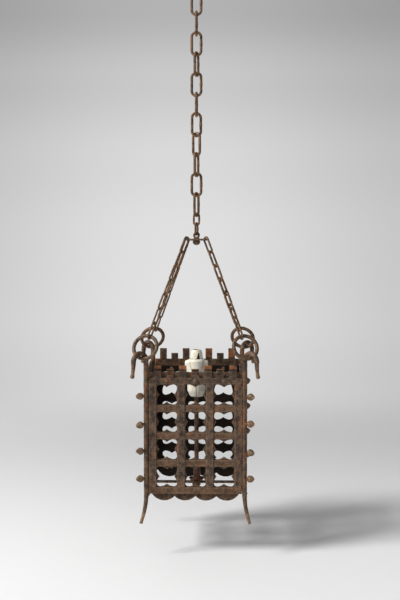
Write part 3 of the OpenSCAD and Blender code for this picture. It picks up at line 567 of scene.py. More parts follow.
sides = {
    "names": ["front", "right", "back", "left"], "columns": 3, "rows": 4,
    "columnPitch": 62.2, "rowPitch": 60, "uprightWidth": 16, "barThickness": 5,
    "barHeight": 14.2, "crossThickness": 3, "sheetThickness": 2, "pierceLip": 1,
    "cusp": 6, "lobe": 7, "backDrop": 12, "merlons": 7, "merlonWidth": 16.3,
    "merlonEnd": 11.2, "notch": 12.4, "tall": 13.8, "short": 6.5, "backNotch": 16.4,
    "backTall": 25, "backShort": 13.6, "tallTooth": 15.7, "shortTooth": 6.9,
    "scallops": 4, "scallopEnd": 10.3, "scallopDrop": 16, "scallopSag": 9.6,
    "postDiameter": 11, "postGap": 0.2,
}
sideWidth = sides["columns"] * sides["columnPitch"] + sides["uprightWidth"]
sideDepth = sides["barThickness"] + sides["sheetThickness"]
sideHeight = sides["rows"] * sides["rowPitch"]
postOff = sideWidth / 2 + sides["postGap"] + sides["postDiameter"] / 2
railZ = nodeBox("rails_front")[0][2] + sideHeight + sides["barHeight"] / 2


def levels(side):  # heights of the bars' middles below the top rail's
    drop = sides["backDrop"] if side == 2 else 0
    return [-sides["rowPitch"] * i - (drop if 0 < i < sides["rows"] else 0)
            for i in range(sides["rows"] + 1)]


columnAt = [(i - (sides["columns"] - 1) / 2) * sides["columnPitch"] for i in range(sides["columns"])]
uprightAt = [(i - sides["columns"] / 2) * sides["columnPitch"] for i in range(sides["columns"] + 1)]


def onSide(shell, side):  # X runs along the side, -Y outward, Z up from the top rail
    return moved(moved(shell, None, (0, -postOff, railZ)), turnZ(90 * side))


def crest(base, tall, short):  # the merlons' outline, from right to left
    pitch = (sideWidth - 2 * sides["merlonEnd"] - sides["merlonWidth"]) / (sides["merlons"] - 1)
    half = sides["merlonWidth"] / 2
    points = []
    for i in reversed(range(sides["merlons"])):
        x, up = (i - (sides["merlons"] - 1) / 2) * pitch, tall if i % 2 == 0 else short
        points += [(x + half, base), (x + half, base + up), (x - half, base + up), (x - half, base)]
    return points


def skirt(low):  # the scallops' outline, from left to right
    pitch = (sideWidth - 2 * sides["scallopEnd"]) / sides["scallops"]
    drop, sag = sides["scallopDrop"], sides["scallopSag"]
    r = ((pitch / 2) ** 2 + sag ** 2) / (2 * sag)
    reach = math.sqrt(r ** 2 - (r - drop) ** 2)
    points = []
    for i in range(sides["scallops"]):
        middle = (i - (sides["scallops"] - 1) / 2) * pitch
        start = -reach if i == 0 else -pitch / 2
        end = reach if i == sides["scallops"] - 1 else pitch / 2
        x = np.linspace(start, end, 15)[(1 if i else 0):]
        points += list(zip(middle + x, low - drop + r - np.sqrt(r ** 2 - x ** 2)))
    return points


def window(x, z, halfWidth, halfHeight):
    # A pierced window: each side has a pointed cusp whose flanks run out as a parabola,
    # and each corner has a round lobe
    s, t = np.linspace(-1, 1, 15), np.radians([75, 60, 45, 30, 15])
    lobe, cusp = sides["lobe"], sides["cusp"]

    def quarter(a, b):
        edge = np.c_[s * (a - lobe), b - cusp * (1 - np.abs(s)) ** 2]
        return np.vstack([edge, np.c_[a - lobe + lobe * np.cos(t), b - lobe + lobe * np.sin(t)]])

    first, second = quarter(halfWidth, halfHeight), quarter(halfHeight, halfWidth)
    outline = np.vstack([first, np.c_[second[:, 1], -second[:, 0]], -first,
                         np.c_[-second[:, 1], second[:, 0]]])
    return outline + [x, z]


def makeSheet(side):
    name, rows = sides["names"][side], levels(side)
    low, half = rows[-1] - sides["barHeight"] / 2, sideWidth / 2
    notch, tall, short = (sides[k] for k in (
        ("backNotch", "backTall", "backShort") if side == 2 else ("notch", "tall", "short")))
    top = sides["barHeight"] / 2 + notch
    outline = ([(-half, low)] + skirt(low) + [(half, low), (half, top)]
               + crest(top, tall, short) + [(-half, top)])
    lip = sides["pierceLip"]
    holes = [window(x, (rows[j] + rows[j + 1]) / 2,
                    (sides["columnPitch"] - sides["uprightWidth"]) / 2 - lip,
                    (rows[j] - rows[j + 1] - sides["barHeight"]) / 2 - lip)
             for x in columnAt for j in range(sides["rows"])]
    plate = cutPlate(outline, holes, sides["sheetThickness"], 0.5, 4, 11 + side)
    # The merlons lean a little in and out of the sheet's plane, each by its own amount
    up = plate["points"][:, 1]
    # The inner faces are painted near-black as soot and painted shade, only faintly above the top rail
    plate["sootAndShade"] = (plate["points"][:, 2] > sides["sheetThickness"] * 0.6) * np.where(
        up > sides["barHeight"] / 2, 0.1, 1.0)
    above = np.clip(up - top, 0, None)
    # Above the notches the damp mark paints orange rust on the merlons, with painted light on their
    # caps and a painted shadow line below them; it is weaker except on the back, where two merlons
    # carry it
    plate["dampAndCapLight"] = np.clip((above - 1) / 4, 0, 1) * (1 if side == 2 else 0.52)
    if side == 2:  # on the back only two merlons have rusted, left of its middle
        pitch = (sideWidth - 2 * sides["merlonEnd"] - sides["merlonWidth"]) / (sides["merlons"] - 1)
        plate["dampAndCapLight"] *= np.abs(np.abs(plate["points"][:, 0] + 2 * pitch) - pitch) < pitch / 2
    plate["points"][:, 2] += above * 0.07 * waves(
        np.c_[plate["points"][:, :1], np.zeros((len(above), 2))], 40, 90 + side)
    outer = sideDepth / 2 - sides["sheetThickness"]
    shell = onSide(placed(plate, (1, 0, 0), (0, 0, 1), (0, 1, 0), (0, outer, 0)), side)
    return makePiece(name + "Sheet", [shell], "lantern", ["sheet_" + name], "rusted_sheet")


def makeRails(side):
    name, half, bar = sides["names"][side], sideWidth / 2, sides["barHeight"] / 2
    top = ([(-half, -bar), (half, -bar), (half, bar)]
           + crest(bar, sides["tallTooth"], sides["shortTooth"]) + [(-half, bar)])
    low = [(-half, -sideHeight - bar), (half, -sideHeight - bar),
           (half, -sideHeight + bar), (-half, -sideHeight + bar)]
    plates = [cutPlate(outline, [], sides["barThickness"], 0.9, 4, seed + side, 0.16, 0.2, 0.22)
              for outline, seed in ((top, 21), (low, 31))]
    for plate, warm in zip(plates, (0.1, 0.45)):
        # The top rail is darker, and its teeth are darker still as painted shade
        plate["sootAndShade"] = (warm < 0.2) * (0.16 + 0.24 * smoothStep((plate["points"][:, 1] - bar) / 6))
        plate["warm"] = np.full(len(plate["points"]), warm)
    shells = [onSide(placed(plate, (1, 0, 0), (0, 0, 1), (0, 1, 0), (0, -sideDepth / 2, 0)), side)
              for plate in plates]
    return makePiece(name + "Rails", shells, "lantern", ["rails_" + name], "wrought_iron")


def makeUprights(side):
    name, bar = sides["names"][side], sides["barHeight"] / 2
    y = sideDepth / 2 - sides["sheetThickness"] - sides["barThickness"] / 2
    shells = [onSide(flatBar((x, y, -sideHeight + bar), (x, y, -bar), sides["uprightWidth"],
                             sides["barThickness"], (1, 0, 0), seed=41 + 4 * side + i), side)
              for i, x in enumerate(uprightAt)]
    return makePiece(name + "Uprights", shells, "lantern", ["uprights_" + name], "wrought_iron")


def makeCrossbars(side):
    name, half = sides["names"][side], sideWidth / 2
    y = sideDepth / 2 - sides["sheetThickness"] - sides["crossThickness"] / 2
    shells = [onSide(flatBar((-half, y, z), (half, y, z), sides["barHeight"],
                             sides["crossThickness"], (0, 0, 1), seed=61 + 4 * side + j), side)
              for j, z in enumerate(levels(side)[1:-1])]
    for shell in shells:
        shell["warm"] = np.full(len(shell["points"]), 0.4)
    return makePiece(name + "Crossbars", shells, "lantern", ["crossbars_" + name], "wrought_iron")


for side in range(4):
    makeSheet(side), makeRails(side), makeUprights(side), makeCrossbars(side)
print("sides made")

rivets = {"shank": 4, "head": 8, "headHeight": 1.8, "peen": 1.4, "peenTaper": 2,
          "strapGrip": 3.1, "bossHead": 12.5, "bossHeight": 5.5}


def rivet(grip, seed, boss=False):
    # A rivet with its axis along Z: a hammered dome, a shank, and a peened head behind
    r, h, s = rivets["head"] / 2, rivets["headHeight"], rivets["shank"] / 2
    if boss:
        r, h = rivets["bossHead"] / 2, rivets["bossHeight"]
    a = np.linspace(0, np.pi / 2, 7)
    dome = np.c_[r * np.sin(a) ** 0.9, h * np.cos(a)]
    back = [(r - 0.4, -0.25), (s, -0.3), (s, -grip + 0.1), (r - 0.3, -grip + 0.1), (r, -grip - 0.5),
            (r - rivets["peenTaper"] / 2, -grip - rivets["peen"]), (0.3, -grip - rivets["peen"])]
    profile = np.vstack([dome[0] + [0.05, 0], dome[1:], back])
    # The boss's dome gets double wear: rubbed metal, and a painted glint on its top
    wear = np.r_[0.5, 0.4, 0.3, 0.2, 0.2, 0.3, 0.1, np.zeros(len(back))] * (2 if boss else 1)
    return turned(profile, 28, wear=wear, roughMm=0.22, waveMm=4, seed=seed)


def makeRivets():
    tip = np.array([[1, 0, 0], [0, 0, -1], [0, 1, 0]])
    shells = []
    for side in range(4):
        for i, x in enumerate(columnAt):
            low = sideDepth + (rivets["strapGrip"] if abs(x) < 1 else 0)
            for z, grip in ((0, sideDepth), (-sideHeight, low)):
                head = rivet(grip, 101 + 10 * side + i + (5 if z else 0), i == 1 and z == 0)
                shells.append(onSide(moved(head, tip, (x, -sideDepth / 2, z)), side))
    return makePiece("sideRivets", shells, "lantern", ["panel_rivets"], "wrought_iron")


makeRivets()
print("rivets made")

# ---- corner posts, studs and rings

posts = {
    "names": ["frontRight", "backRight", "backLeft", "frontLeft"],
    "nodes": ["front_right", "back_right", "back_left", "front_left"],
    "azimuth": [315, 45, 135, 225], "diameter": 11, "crook": 17.5, "crookRise": 43.6,
    "tailDrop": 32, "tailFlick": 4, "waist": 3.2, "tailTip": 4.6, "footDrop": 69,
    "footOut": 15.5, "footPower": 2.2, "footTip": 3.4,
}
postRho, crookZ = postOff * math.sqrt(2), railZ + posts["crookRise"]


def atCorner(shell, corner):
    return moved(shell, turnZ(posts["azimuth"][corner]))


def makePost(corner):
    # The foot sweeps out by a power curve as it tapers, the shaft runs straight up, the
    # crook is a half circle, and the tail thins to a waist and swells again at its tip
    r, hook, footZ = posts["diameter"] / 2, posts["crook"], railZ - sideHeight
    s = np.linspace(1, 0, 26)[:-1]
    foot = np.c_[posts["footOut"] * s ** posts["footPower"], 0 * s, footZ - posts["footDrop"] * s]
    footRadii = r * (1 - s) + posts["footTip"] * s
    z = np.linspace(footZ, crookZ, 96)[:-1]
    a = np.linspace(np.pi, 0, 30)[:-1]
    crook = np.c_[hook + hook * np.cos(a), 0 * a, crookZ + hook * np.sin(a)]
    u = np.linspace(0, 1, 16)
    tail = np.c_[2 * hook + posts["tailFlick"] * u ** 2, 0 * u, crookZ - posts["tailDrop"] * u]
    tailRadii = ((r - posts["waist"]) * (1 - u) ** 1.5 + posts["waist"]
                 + (posts["tailTip"] - posts["waist"]) * u ** 4)
    centres = np.vstack([foot, np.c_[0 * z, 0 * z, z], crook, tail])
    radii = np.r_[footRadii, np.full(len(z) + len(a), r), tailRadii]
    radii = radii * (1 + 0.035 * waves(centres, 26, 131 + corner))
    centres = centres + [postRho, 0, 0]
    wear = np.r_[np.full(8, 0.55), np.zeros(len(centres) - 14), np.full(6, 0.6)]
    shell = atCorner(roundBar(centres, radii, (0, 1, 0), seed=141 + corner, roughMm=0.28,
                              waveMm=7, wear=wear), corner)
    return makePiece(posts["names"][corner] + "Post", [shell], "lantern",
                     ["post_" + posts["nodes"][corner]], "forged_round")


studs = {"length": 24, "head": 12, "neck": 5, "neckLength": 5, "low": 3, "bias": 0.72,
         "fullness": 0.75}


def makeStuds():
    # Acorn studs: a bare neck, then a head whose swell is drawn towards the neck and runs
    # out to a point
    root = posts["diameter"] / 2 - 1
    start = posts["diameter"] / 2 + studs["neckLength"]
    headLength = studs["length"] - studs["neckLength"]
    s = np.linspace(0.03, 0.995, 16)
    head = np.c_[studs["neck"] / 2 * (1 - s) + studs["head"] / 2 * np.sin(
        np.pi * s ** studs["bias"]) ** studs["fullness"], start + headLength * s]
    cap = np.exp(-((s - 0.42) / 0.05) ** 2) * 0.45  # the cap's rim stands a little proud
    head[:, 0] += cap
    profile = np.vstack([[0.2, root], [studs["neck"] / 2, root],
                         [studs["neck"] / 2, start], head])
    wear = np.r_[0, 0, 0, np.clip(1 - np.abs(s - 0.5) / 0.4, 0, 1) * 0.6 + (s > 0.85) * 0.4]
    shells = []
    for corner in range(4):
        for row in range(sides["rows"]):
            seed = 161 + 7 * corner + row
            stud = turned(profile, 24, wear=wear, roughMm=0.35, waveMm=8, seed=seed)
            stud = moved(stud, turnY(90), (0, 0, 0))
            lean = turnY(np.random.default_rng(seed).uniform(-6, 6))
            z = railZ - (row + 0.5) * sides["rowPitch"] - studs["low"]
            shells.append(atCorner(moved(stud, lean, (postRho, 0, z)), corner))
    return makePiece("postStuds", shells, "lantern", ["post_studs"], "forged_round")


for corner in range(4):
    makePost(corner)
makeStuds()
print("posts and studs made")

rings = {"diameter": 61, "bar": 8.4, "turn": 25, "seat": 7.4, "sign": [-1, 1, -1, 1]}
bridle = {"links": 7, "inner": 35.2, "width": 16, "endWidth": 19.8, "wire": 4.2, "gap": 0.2,
          "webSink": 0.5}
spreader = {"width": 50, "thickness": 4, "corner": 6, "hole": 9, "web": 4.5, "shank": 7.2}
webRho = ((spreader["width"] / 2 - spreader["corner"]) * math.sqrt(2) + spreader["corner"]
          - spreader["web"] / 2)
webZ = nodeBox("spreader_plate")[0][2] + spreader["thickness"] / 2
pullAngle = math.atan2(postRho + posts["crook"] - webRho, webZ - crookZ)
pullStart = bridle["webSink"] - (bridle["width"] / 2 - bridle["wire"])
ringRadius = (rings["diameter"] - rings["bar"]) / 2
ringQ = (pullStart + bridle["links"] * (bridle["inner"] - bridle["gap"]) - rings["bar"] / 2
         + ringRadius)


def onPull(shell, corner, q):  # distance q down the line of pull, with -Z along that line
    place = (webRho + q * math.sin(pullAngle), 0, webZ - q * math.cos(pullAngle))
    return atCorner(moved(shell, turnY(-math.degrees(pullAngle)), place), corner)


def makeRing(corner):
    # A forged ring: a circle of round bar, a little flattened where its scarf was welded
    t = np.linspace(0, 2 * np.pi, 96, endpoint=False)
    centres = np.c_[0 * t, ringRadius * np.cos(t), ringRadius * np.sin(t)]
    scarf = np.exp(-(((t - 4.1) % (2 * np.pi)) / 0.22 - 1) ** 2)
    radii = rings["bar"] / 2 * (0.98 - 0.05 * scarf + 0.02 * waves(centres, 30, 181 + corner))
    shell = roundBar(centres, radii, (1, 0, 0), True, 20, 191 + corner, 0.2, 7, 0.12)
    shell = onPull(moved(shell, turnZ(rings["sign"][corner] * rings["turn"])), corner, ringQ)
    node = "ring_" + posts["nodes"][corner]
    return makePiece(posts["names"][corner] + "Ring", [shell], node, [node], "forged_round")


def ovalLink(wire, width, inner, seed, stepMm=2.0, sidesRound=14):
    # A welded link: two half circles joined by straights, with the weld's swelling on one
    # straight and wear where its neighbours bear
    bend, half = (width - wire) / 2, (inner + 2 * wire - width) / 2
    t = np.linspace(0, np.pi, max(8, int(math.pi * bend / stepMm)), endpoint=False)
    straight = np.linspace(half, -half, max(5, int(2 * half / stepMm)), endpoint=False)
    centres = np.vstack([
        np.c_[bend * np.cos(t), 0 * t, half + bend * np.sin(t)],
        np.c_[-bend + 0 * straight, 0 * straight, straight],
        np.c_[-bend * np.cos(t), 0 * t, -half - bend * np.sin(t)],
        np.c_[bend + 0 * straight, 0 * straight, -straight]])
    weld = np.exp(-((centres[:, 2] / (0.55 * wire)) ** 2)) * (centres[:, 0] > 0)
    radii = wire / 2 * (1 + 0.16 * weld)
    ends = np.clip((np.abs(centres[:, 2]) - half - bend * 0.5) / (bend * 0.5), 0, 1)
    return roundBar(centres, radii, (0, 1, 0), True, sidesRound, seed, 0.06 * wire ** 0.5, 6,
                    0.7 * ends + 0.3 * weld)


def makeBridle(corner):
    shells = []
    for i in range(bridle["links"]):
        last = i == bridle["links"] - 1
        q = pullStart + i * (bridle["inner"] - bridle["gap"]) + bridle["inner"] / 2
        turn = rings["sign"][corner] * rings["turn"] if last else (i % 2) * 90
        link = ovalLink(bridle["wire"], bridle["endWidth" if last else "width"],
                        bridle["inner"], 201 + 9 * corner + i, 1.8, 12)
        shells.append(onPull(moved(link, turnZ(turn)), corner, q))
    return makePiece(posts["names"][corner] + "Bridle", shells, "lantern",
                     ["bridle_" + posts["nodes"][corner]], "chain_iron")


for corner in range(4):
    makeRing(corner), makeBridle(corner)
print("rings and bridle made")

# ---- swivel, spreader plate, main chain and ceiling fitting

swivel = {"eyeBar": 4.8, "eyeHole": 6.8, "collar": 13, "collarHeight": 2, "shank": 7,
          "nut": 17, "nutRim": 2, "turn": 158}


def makeSpreader():
    inner = spreader["width"] / 2 - spreader["corner"]
    t = np.linspace(0, np.pi / 2, 8)
    corner = np.c_[inner + spreader["corner"] * np.cos(t), inner + spreader["corner"] * np.sin(t)]
    outline = np.vstack([corner @ turnZ(90 * k)[:2, :2].T for k in range(4)])
    holeRho = webRho - spreader["web"] / 2 - spreader["hole"] / 2
    holes = [disc(spreader["shank"] / 2, 64)] + [
        disc(spreader["hole"] / 2, 32, (holeRho * math.cos(math.radians(a)),
                                        holeRho * math.sin(math.radians(a))))
        for a in posts["azimuth"]]
    plate = cutPlate(outline, holes, spreader["thickness"], 0.8, 2.5, 231, 0.05, 0.05, 0.02)
    shell = placed(plate, (1, 0, 0), (0, 1, 0), (0, 0, 1), (0, 0, nodeBox("spreader_plate")[0][2]))
    return makePiece("spreaderPlate", [shell], "lantern", ["spreader_plate"], "wrought_iron")


def makeSwivel():
    low, high = nodeBox("swivel_eye")
    eyeRadius = (swivel["eyeHole"] + swivel["eyeBar"]) / 2
    eyeZ = high[2] - eyeRadius - swivel["eyeBar"] / 2
    t = np.linspace(0, 2 * np.pi, 48, endpoint=False)
    ring = roundBar(np.c_[eyeRadius * np.cos(t), 0 * t, eyeRadius * np.sin(t)],
                    swivel["eyeBar"] / 2, (0, 1, 0), True, 18, 241, 0.1, 6, 0.25)
    ring = moved(ring, turnZ(swivel["turn"]), (0, 0, eyeZ))
    collarTop = eyeZ - eyeRadius
    c, h, s = swivel["collar"] / 2, swivel["collarHeight"], swivel["shank"] / 2
    stem = softened([(0.1, collarTop + 0.5), (s, collarTop + 0.5), (s, collarTop), (c, collarTop),
                     (c, collarTop - h), (s, collarTop - h), (s, low[2]), (0.1, low[2])], 0.6)
    collar = turned(stem, 40, roughMm=0.03, seed=242)
    makePiece("swivelEye", [ring, collar], "swivel", ["swivel_eye"], "forged_round")
    low, high = nodeBox("swivel_washer")
    outer, bore = (high[0] - low[0]) / 2, s + 0.05
    washer = softened([(bore, low[2]), (outer, low[2]), (outer, high[2]), (bore, high[2])],
                      0.3, closed=True)
    makePiece("swivelWasher", [turned(washer, 40, True, roughMm=0.05, seed=243)], "swivel",
              ["swivel_washer"], "forged_round")
    low, high = nodeBox("swivel_nut")
    r, rim = (high[0] - low[0]) / 2, high[2] - swivel["nutRim"]
    a = np.linspace(0.02, np.pi / 2, 12)
    dome = np.c_[r * np.sin(a), rim - (rim - low[2]) * np.cos(a)]
    nut = np.vstack([dome, [(r, high[2] - 0.4), (r - 0.4, high[2]), (0.1, high[2])]])
    makePiece("swivelNut", [turned(nut, 40, roughMm=0.15, seed=244)], "swivel",
              ["swivel_nut"], "forged_round")


chain = {"yaws": [0, 90, 4, 70, -4, 88, 22, -44, 70, 0, 66, -14, 68],
         "bigWidth": 27, "bigWire": 6, "smallWidth": 17, "smallWire": 4.6}


def makeChain():
    names = [f"chain_link_{i}" for i in range(1, 12)] + ["small_link_1", "small_link_2"]
    for i, node in enumerate(names):
        size = "big" if node.startswith("chain") else "small"
        wire, width = chain[size + "Wire"], chain[size + "Width"]
        low, high = nodeBox(node)
        link = ovalLink(wire, width, high[2] - low[2] - 2 * wire, 251 + i)
        link = moved(link, turnZ(chain["yaws"][i]), (0, 0, (low[2] + high[2]) / 2))
        makePiece(size + "Link" + node.split("_")[-1], [link], node, [node], "chain_iron")


ceiling = {"holes": 3, "pitchCircle": 46, "hole": 5, "hookBar": 8, "hookRadius": 16,
           "sweep": 285, "collar": 13, "collarHeight": 2}


def makeCeiling():
    low, high = nodeBox("ceiling_plate")
    radius, thickness = (high[0] - low[0]) / 2, high[2] - low[2]
    angles = np.radians(90 + 360 * np.arange(ceiling["holes"]) / ceiling["holes"])
    ring = ceiling["pitchCircle"] / 2
    holes = [disc(ceiling["hole"] / 2, 24, (ring * math.cos(a), ring * math.sin(a)))
             for a in angles]
    plate = cutPlate(disc(radius), holes, thickness, 1.2, 3, 271, 0.12, 0.0, 0.1)
    plate["points"][:, 2] = np.minimum(plate["points"][:, 2], thickness)
    shell = placed(plate, (1, 0, 0), (0, 1, 0), (0, 0, 1), (0, 0, low[2]))
    makePiece("ceilingPlate", [shell], "ceiling", ["ceiling_plate"], "wrought_iron")
    centreZ = nodeBox("ceiling_hook")[0][2] + ceiling["hookBar"] / 2 + ceiling["hookRadius"]
    r = ceiling["hookRadius"]
    s = np.linspace(low[2] + 3, centreZ + r + 3, 8)
    t = np.radians(np.linspace(90, 90 + ceiling["sweep"], 72))
    bend = np.c_[0 * t, r * np.cos(t), centreZ + r * np.sin(t)]
    bend[:1, 2] -= 0.5
    centres = np.vstack([np.c_[0 * s, 0 * s, s], bend])
    taper = np.r_[np.ones(len(s) + 52), np.linspace(1, 0.8, 20)]
    bar = roundBar(centres, ceiling["hookBar"] / 2 * taper, (1, 0, 0), seed=272, roughMm=0.2,
                   waveMm=8, wear=0.1)
    c, h = ceiling["collar"] / 2, ceiling["collarHeight"]
    collar = turned(softened([(0.1, low[2]), (c, low[2]), (c, low[2] - h), (0.1, low[2] - h)],
                             0.6), 40, roughMm=0.08, seed=273)
    makePiece("ceilingHook", [bar, collar], "ceiling", ["ceiling_hook"], "forged_round")


makeSpreader(), makeSwivel(), makeChain(), makeCeiling()
print("chain and fittings made")

# ---- lamp stand and lampholder

stand = {"strapWidth": 16, "strapThickness": 3, "bend": 4, "stem": 10, "nut": 17}


def makeStrap(name, node, alongY):
    # A flat strap bent up at both ends, inside the sheets
    low, high = nodeBox(node)
    half, t = high[1 if alongY else 0] - stand["strapThickness"] / 2, stand["strapThickness"]
    floor, top, bend = low[2] + t / 2, high[2], stand["bend"]
    a = np.linspace(0, np.pi / 2, 7)
    curve = np.c_[-half + bend - bend * np.cos(a), 0 * a, floor + bend - bend * np.sin(a)]
    up = np.linspace(top, floor + bend, 6)[:-1]
    run = np.linspace(-half + bend, half - bend, 50)[1:-1]
    left = np.vstack([np.c_[-half + 0 * up, 0 * up, up], curve])
    centres = np.vstack([left, np.c_[run, 0 * run, floor + 0 * run], left[::-1] * [-1, 1, 1]])
    inset = np.zeros(len(centres))
    inset[0] = inset[-1] = 0.6
    profiles = np.stack([barProfile(stand["strapWidth"], t, 0.7, i) for i in inset])
    shell = sweep(centres, (0, 1, 0), profiles, wear=barWear[None], roughMm=0.15, waveMm=9,
                  seed=281 + alongY)
    makePiece(name, [moved(shell, turnZ(90 if alongY else 0))], "lantern", [node], "wrought_iron")


def makeStand():
    low, high = nodeBox("stem_nut")
    t = np.linspace(0, 2 * np.pi, 72, endpoint=False)
    flat = stand["nut"] / 2
    hexagon = flat / np.cos((t % (np.pi / 3)) - np.pi / 6)
    rows = []
    for z, most in ((low[2], 0.1), (low[2], flat * 1.0), (low[2] + 0.8, flat * 1.1),
                    (low[2] + 1.2, 99), (high[2] - 0.8, 99), (high[2], flat * 1.06),
                    (high[2], 0.1)):
        r = np.minimum(hexagon, most)
        rows.append(np.c_[r * np.cos(t), r * np.sin(t), z + 0 * t])
    nut = gridShell(np.stack(rows), np.r_[0, 0.6, 1, 0.3, 0.3, 0.8, 0][:, None])
    makePiece("stemNut", [nut], "lantern", ["stem_nut"], "forged_round")
    low, high = nodeBox("stem_rod")
    r = stand["stem"] / 2
    z = np.linspace(low[2], high[2], 60)
    profile = np.vstack([[0.1, low[2]], [r - 0.8, low[2]], np.c_[np.full(60, r), z],
                         [0.1, high[2]]])
    profile[2, 1] += 0.8
    makePiece("stemRod", [turned(profile, 28, roughMm=0.12, waveMm=12, seed=291)], "lantern",
              ["stem_rod"], "forged_round")
    low, high = nodeBox("drip_pan")
    outer, bore, z = (high[0] - low[0]) / 2, r + 0.1, low[2]
    pan = softened([(bore, z), (outer - 4, z), (outer, z + 5), (outer - 1.5, z + 5),
                    (outer - 5.5, z + 2), (bore, z + 2)], 0.9, closed=True)
    makePiece("dripPan", [turned(pan, 72, True, roughMm=0.12, seed=292)], "lantern",
              ["drip_pan"], "rusted_pan")
    low, high = nodeBox("stem_cup")
    z, h, lip = low[2], high[2] - low[2], (high[0] - low[0]) / 2
    waist = 17 / 2 - 1
    cup = softened([(bore, z), (waist + 2, z), (waist + 1.4, z + 3), (waist, z + 6),
                    (waist, z + h - 8), (lip - 0.6, z + h - 4.2), (lip, z + h - 2), (lip, z + h),
                    (lip - 2, z + h), (lip - 2.4, z + h - 4), (waist - 1.6, z + h - 8),
                    (waist - 1.6, z + 5.6), (bore, z + 5)], 1.0, closed=True)
    makePiece("stemCup", [turned(cup, 56, True, roughMm=0.12, seed=293)], "lantern",
              ["stem_cup"], "rusted_pan")


holder = {
    "baseFoot": 30, "base": 42, "baseTaper": 12, "groove": 1.2, "grooveDepth": 1, "body": 40,
    "shoulderWidth": 53.5, "ear": 8, "earLow": 3, "bodyHeight": 45, "shoulder": 6,
    "archWidth": 15, "archHeight": 6, "archDepth": 7, "arm": 6, "armOut": 7, "armHeight": 22,
    "mouth": 24.5, "collarFoot": 29, "mouthHeight": 21, "mouthRound": 2.5, "cutX": 5.5,
    "cutWidth": 9, "groovedAt": (15, 8), "grooveWidth": 1.1,
    "cutHeight": 13, "shell": 17.6, "shellBore": 14.2, "threadPitch": 2.8,
}


def makeHolderBase():
    # Lower porcelain: turned, with a tapered foot and a narrow groove front and back
    low, high = nodeBox("holder_base")
    z, h, r, foot = low[2], high[2] - low[2], holder["base"] / 2, holder["baseFoot"] / 2
    corners = softened([(0.1, z), (foot, z), (r - 0.6, z + holder["baseTaper"]), (r, z + 14),
                        (r, z + h), (0.1, z + h)], 1.6, 5)
    rows = [corners[:1]]
    for a, b in zip(corners[:-1], corners[1:]):  # short steps, so that the grooves stay even
        n = max(1, int(np.linalg.norm(b - a) / 3))
        rows.append(a + (b - a) * (np.arange(1, n + 1) / n)[:, None])
    profile = np.vstack(rows)
    near = np.linspace(-4, 4, 25)  # degrees about the front and the back
    t = np.radians(np.r_[np.arange(-84, 85, 4), 90 + near, np.arange(96, 265, 4), 270 + near])
    radius = np.broadcast_to(profile[:, :1], (len(profile), len(t)))
    x = radius * np.cos(t)
    dip = holder["grooveDepth"] * smoothStep((holder["groove"] / 2 + 0.35 - np.abs(x)) / 0.5)
    deep = (np.abs(np.sin(t)) > 0.9) * dip * (radius > foot - 1)
    shown = radius - deep
    points = np.stack([shown * np.cos(t), shown * np.sin(t),
                       np.broadcast_to(profile[:, 1:], radius.shape)], -1)
    # Darker in the grooves, at the foot and where the body sits on it: grime and painted shade
    grime = np.clip(deep * 0.9 + smoothStep((z + 5 - points[..., 2]) / 6) * 0.5
                    + smoothStep((points[..., 2] - z - h + 3) / 3) * 0.5, 0, 1)
    makePiece("holderBase", [gridShell(points, 0.0, grime=grime)], "lantern", ["holder_base"],
              "porcelain")


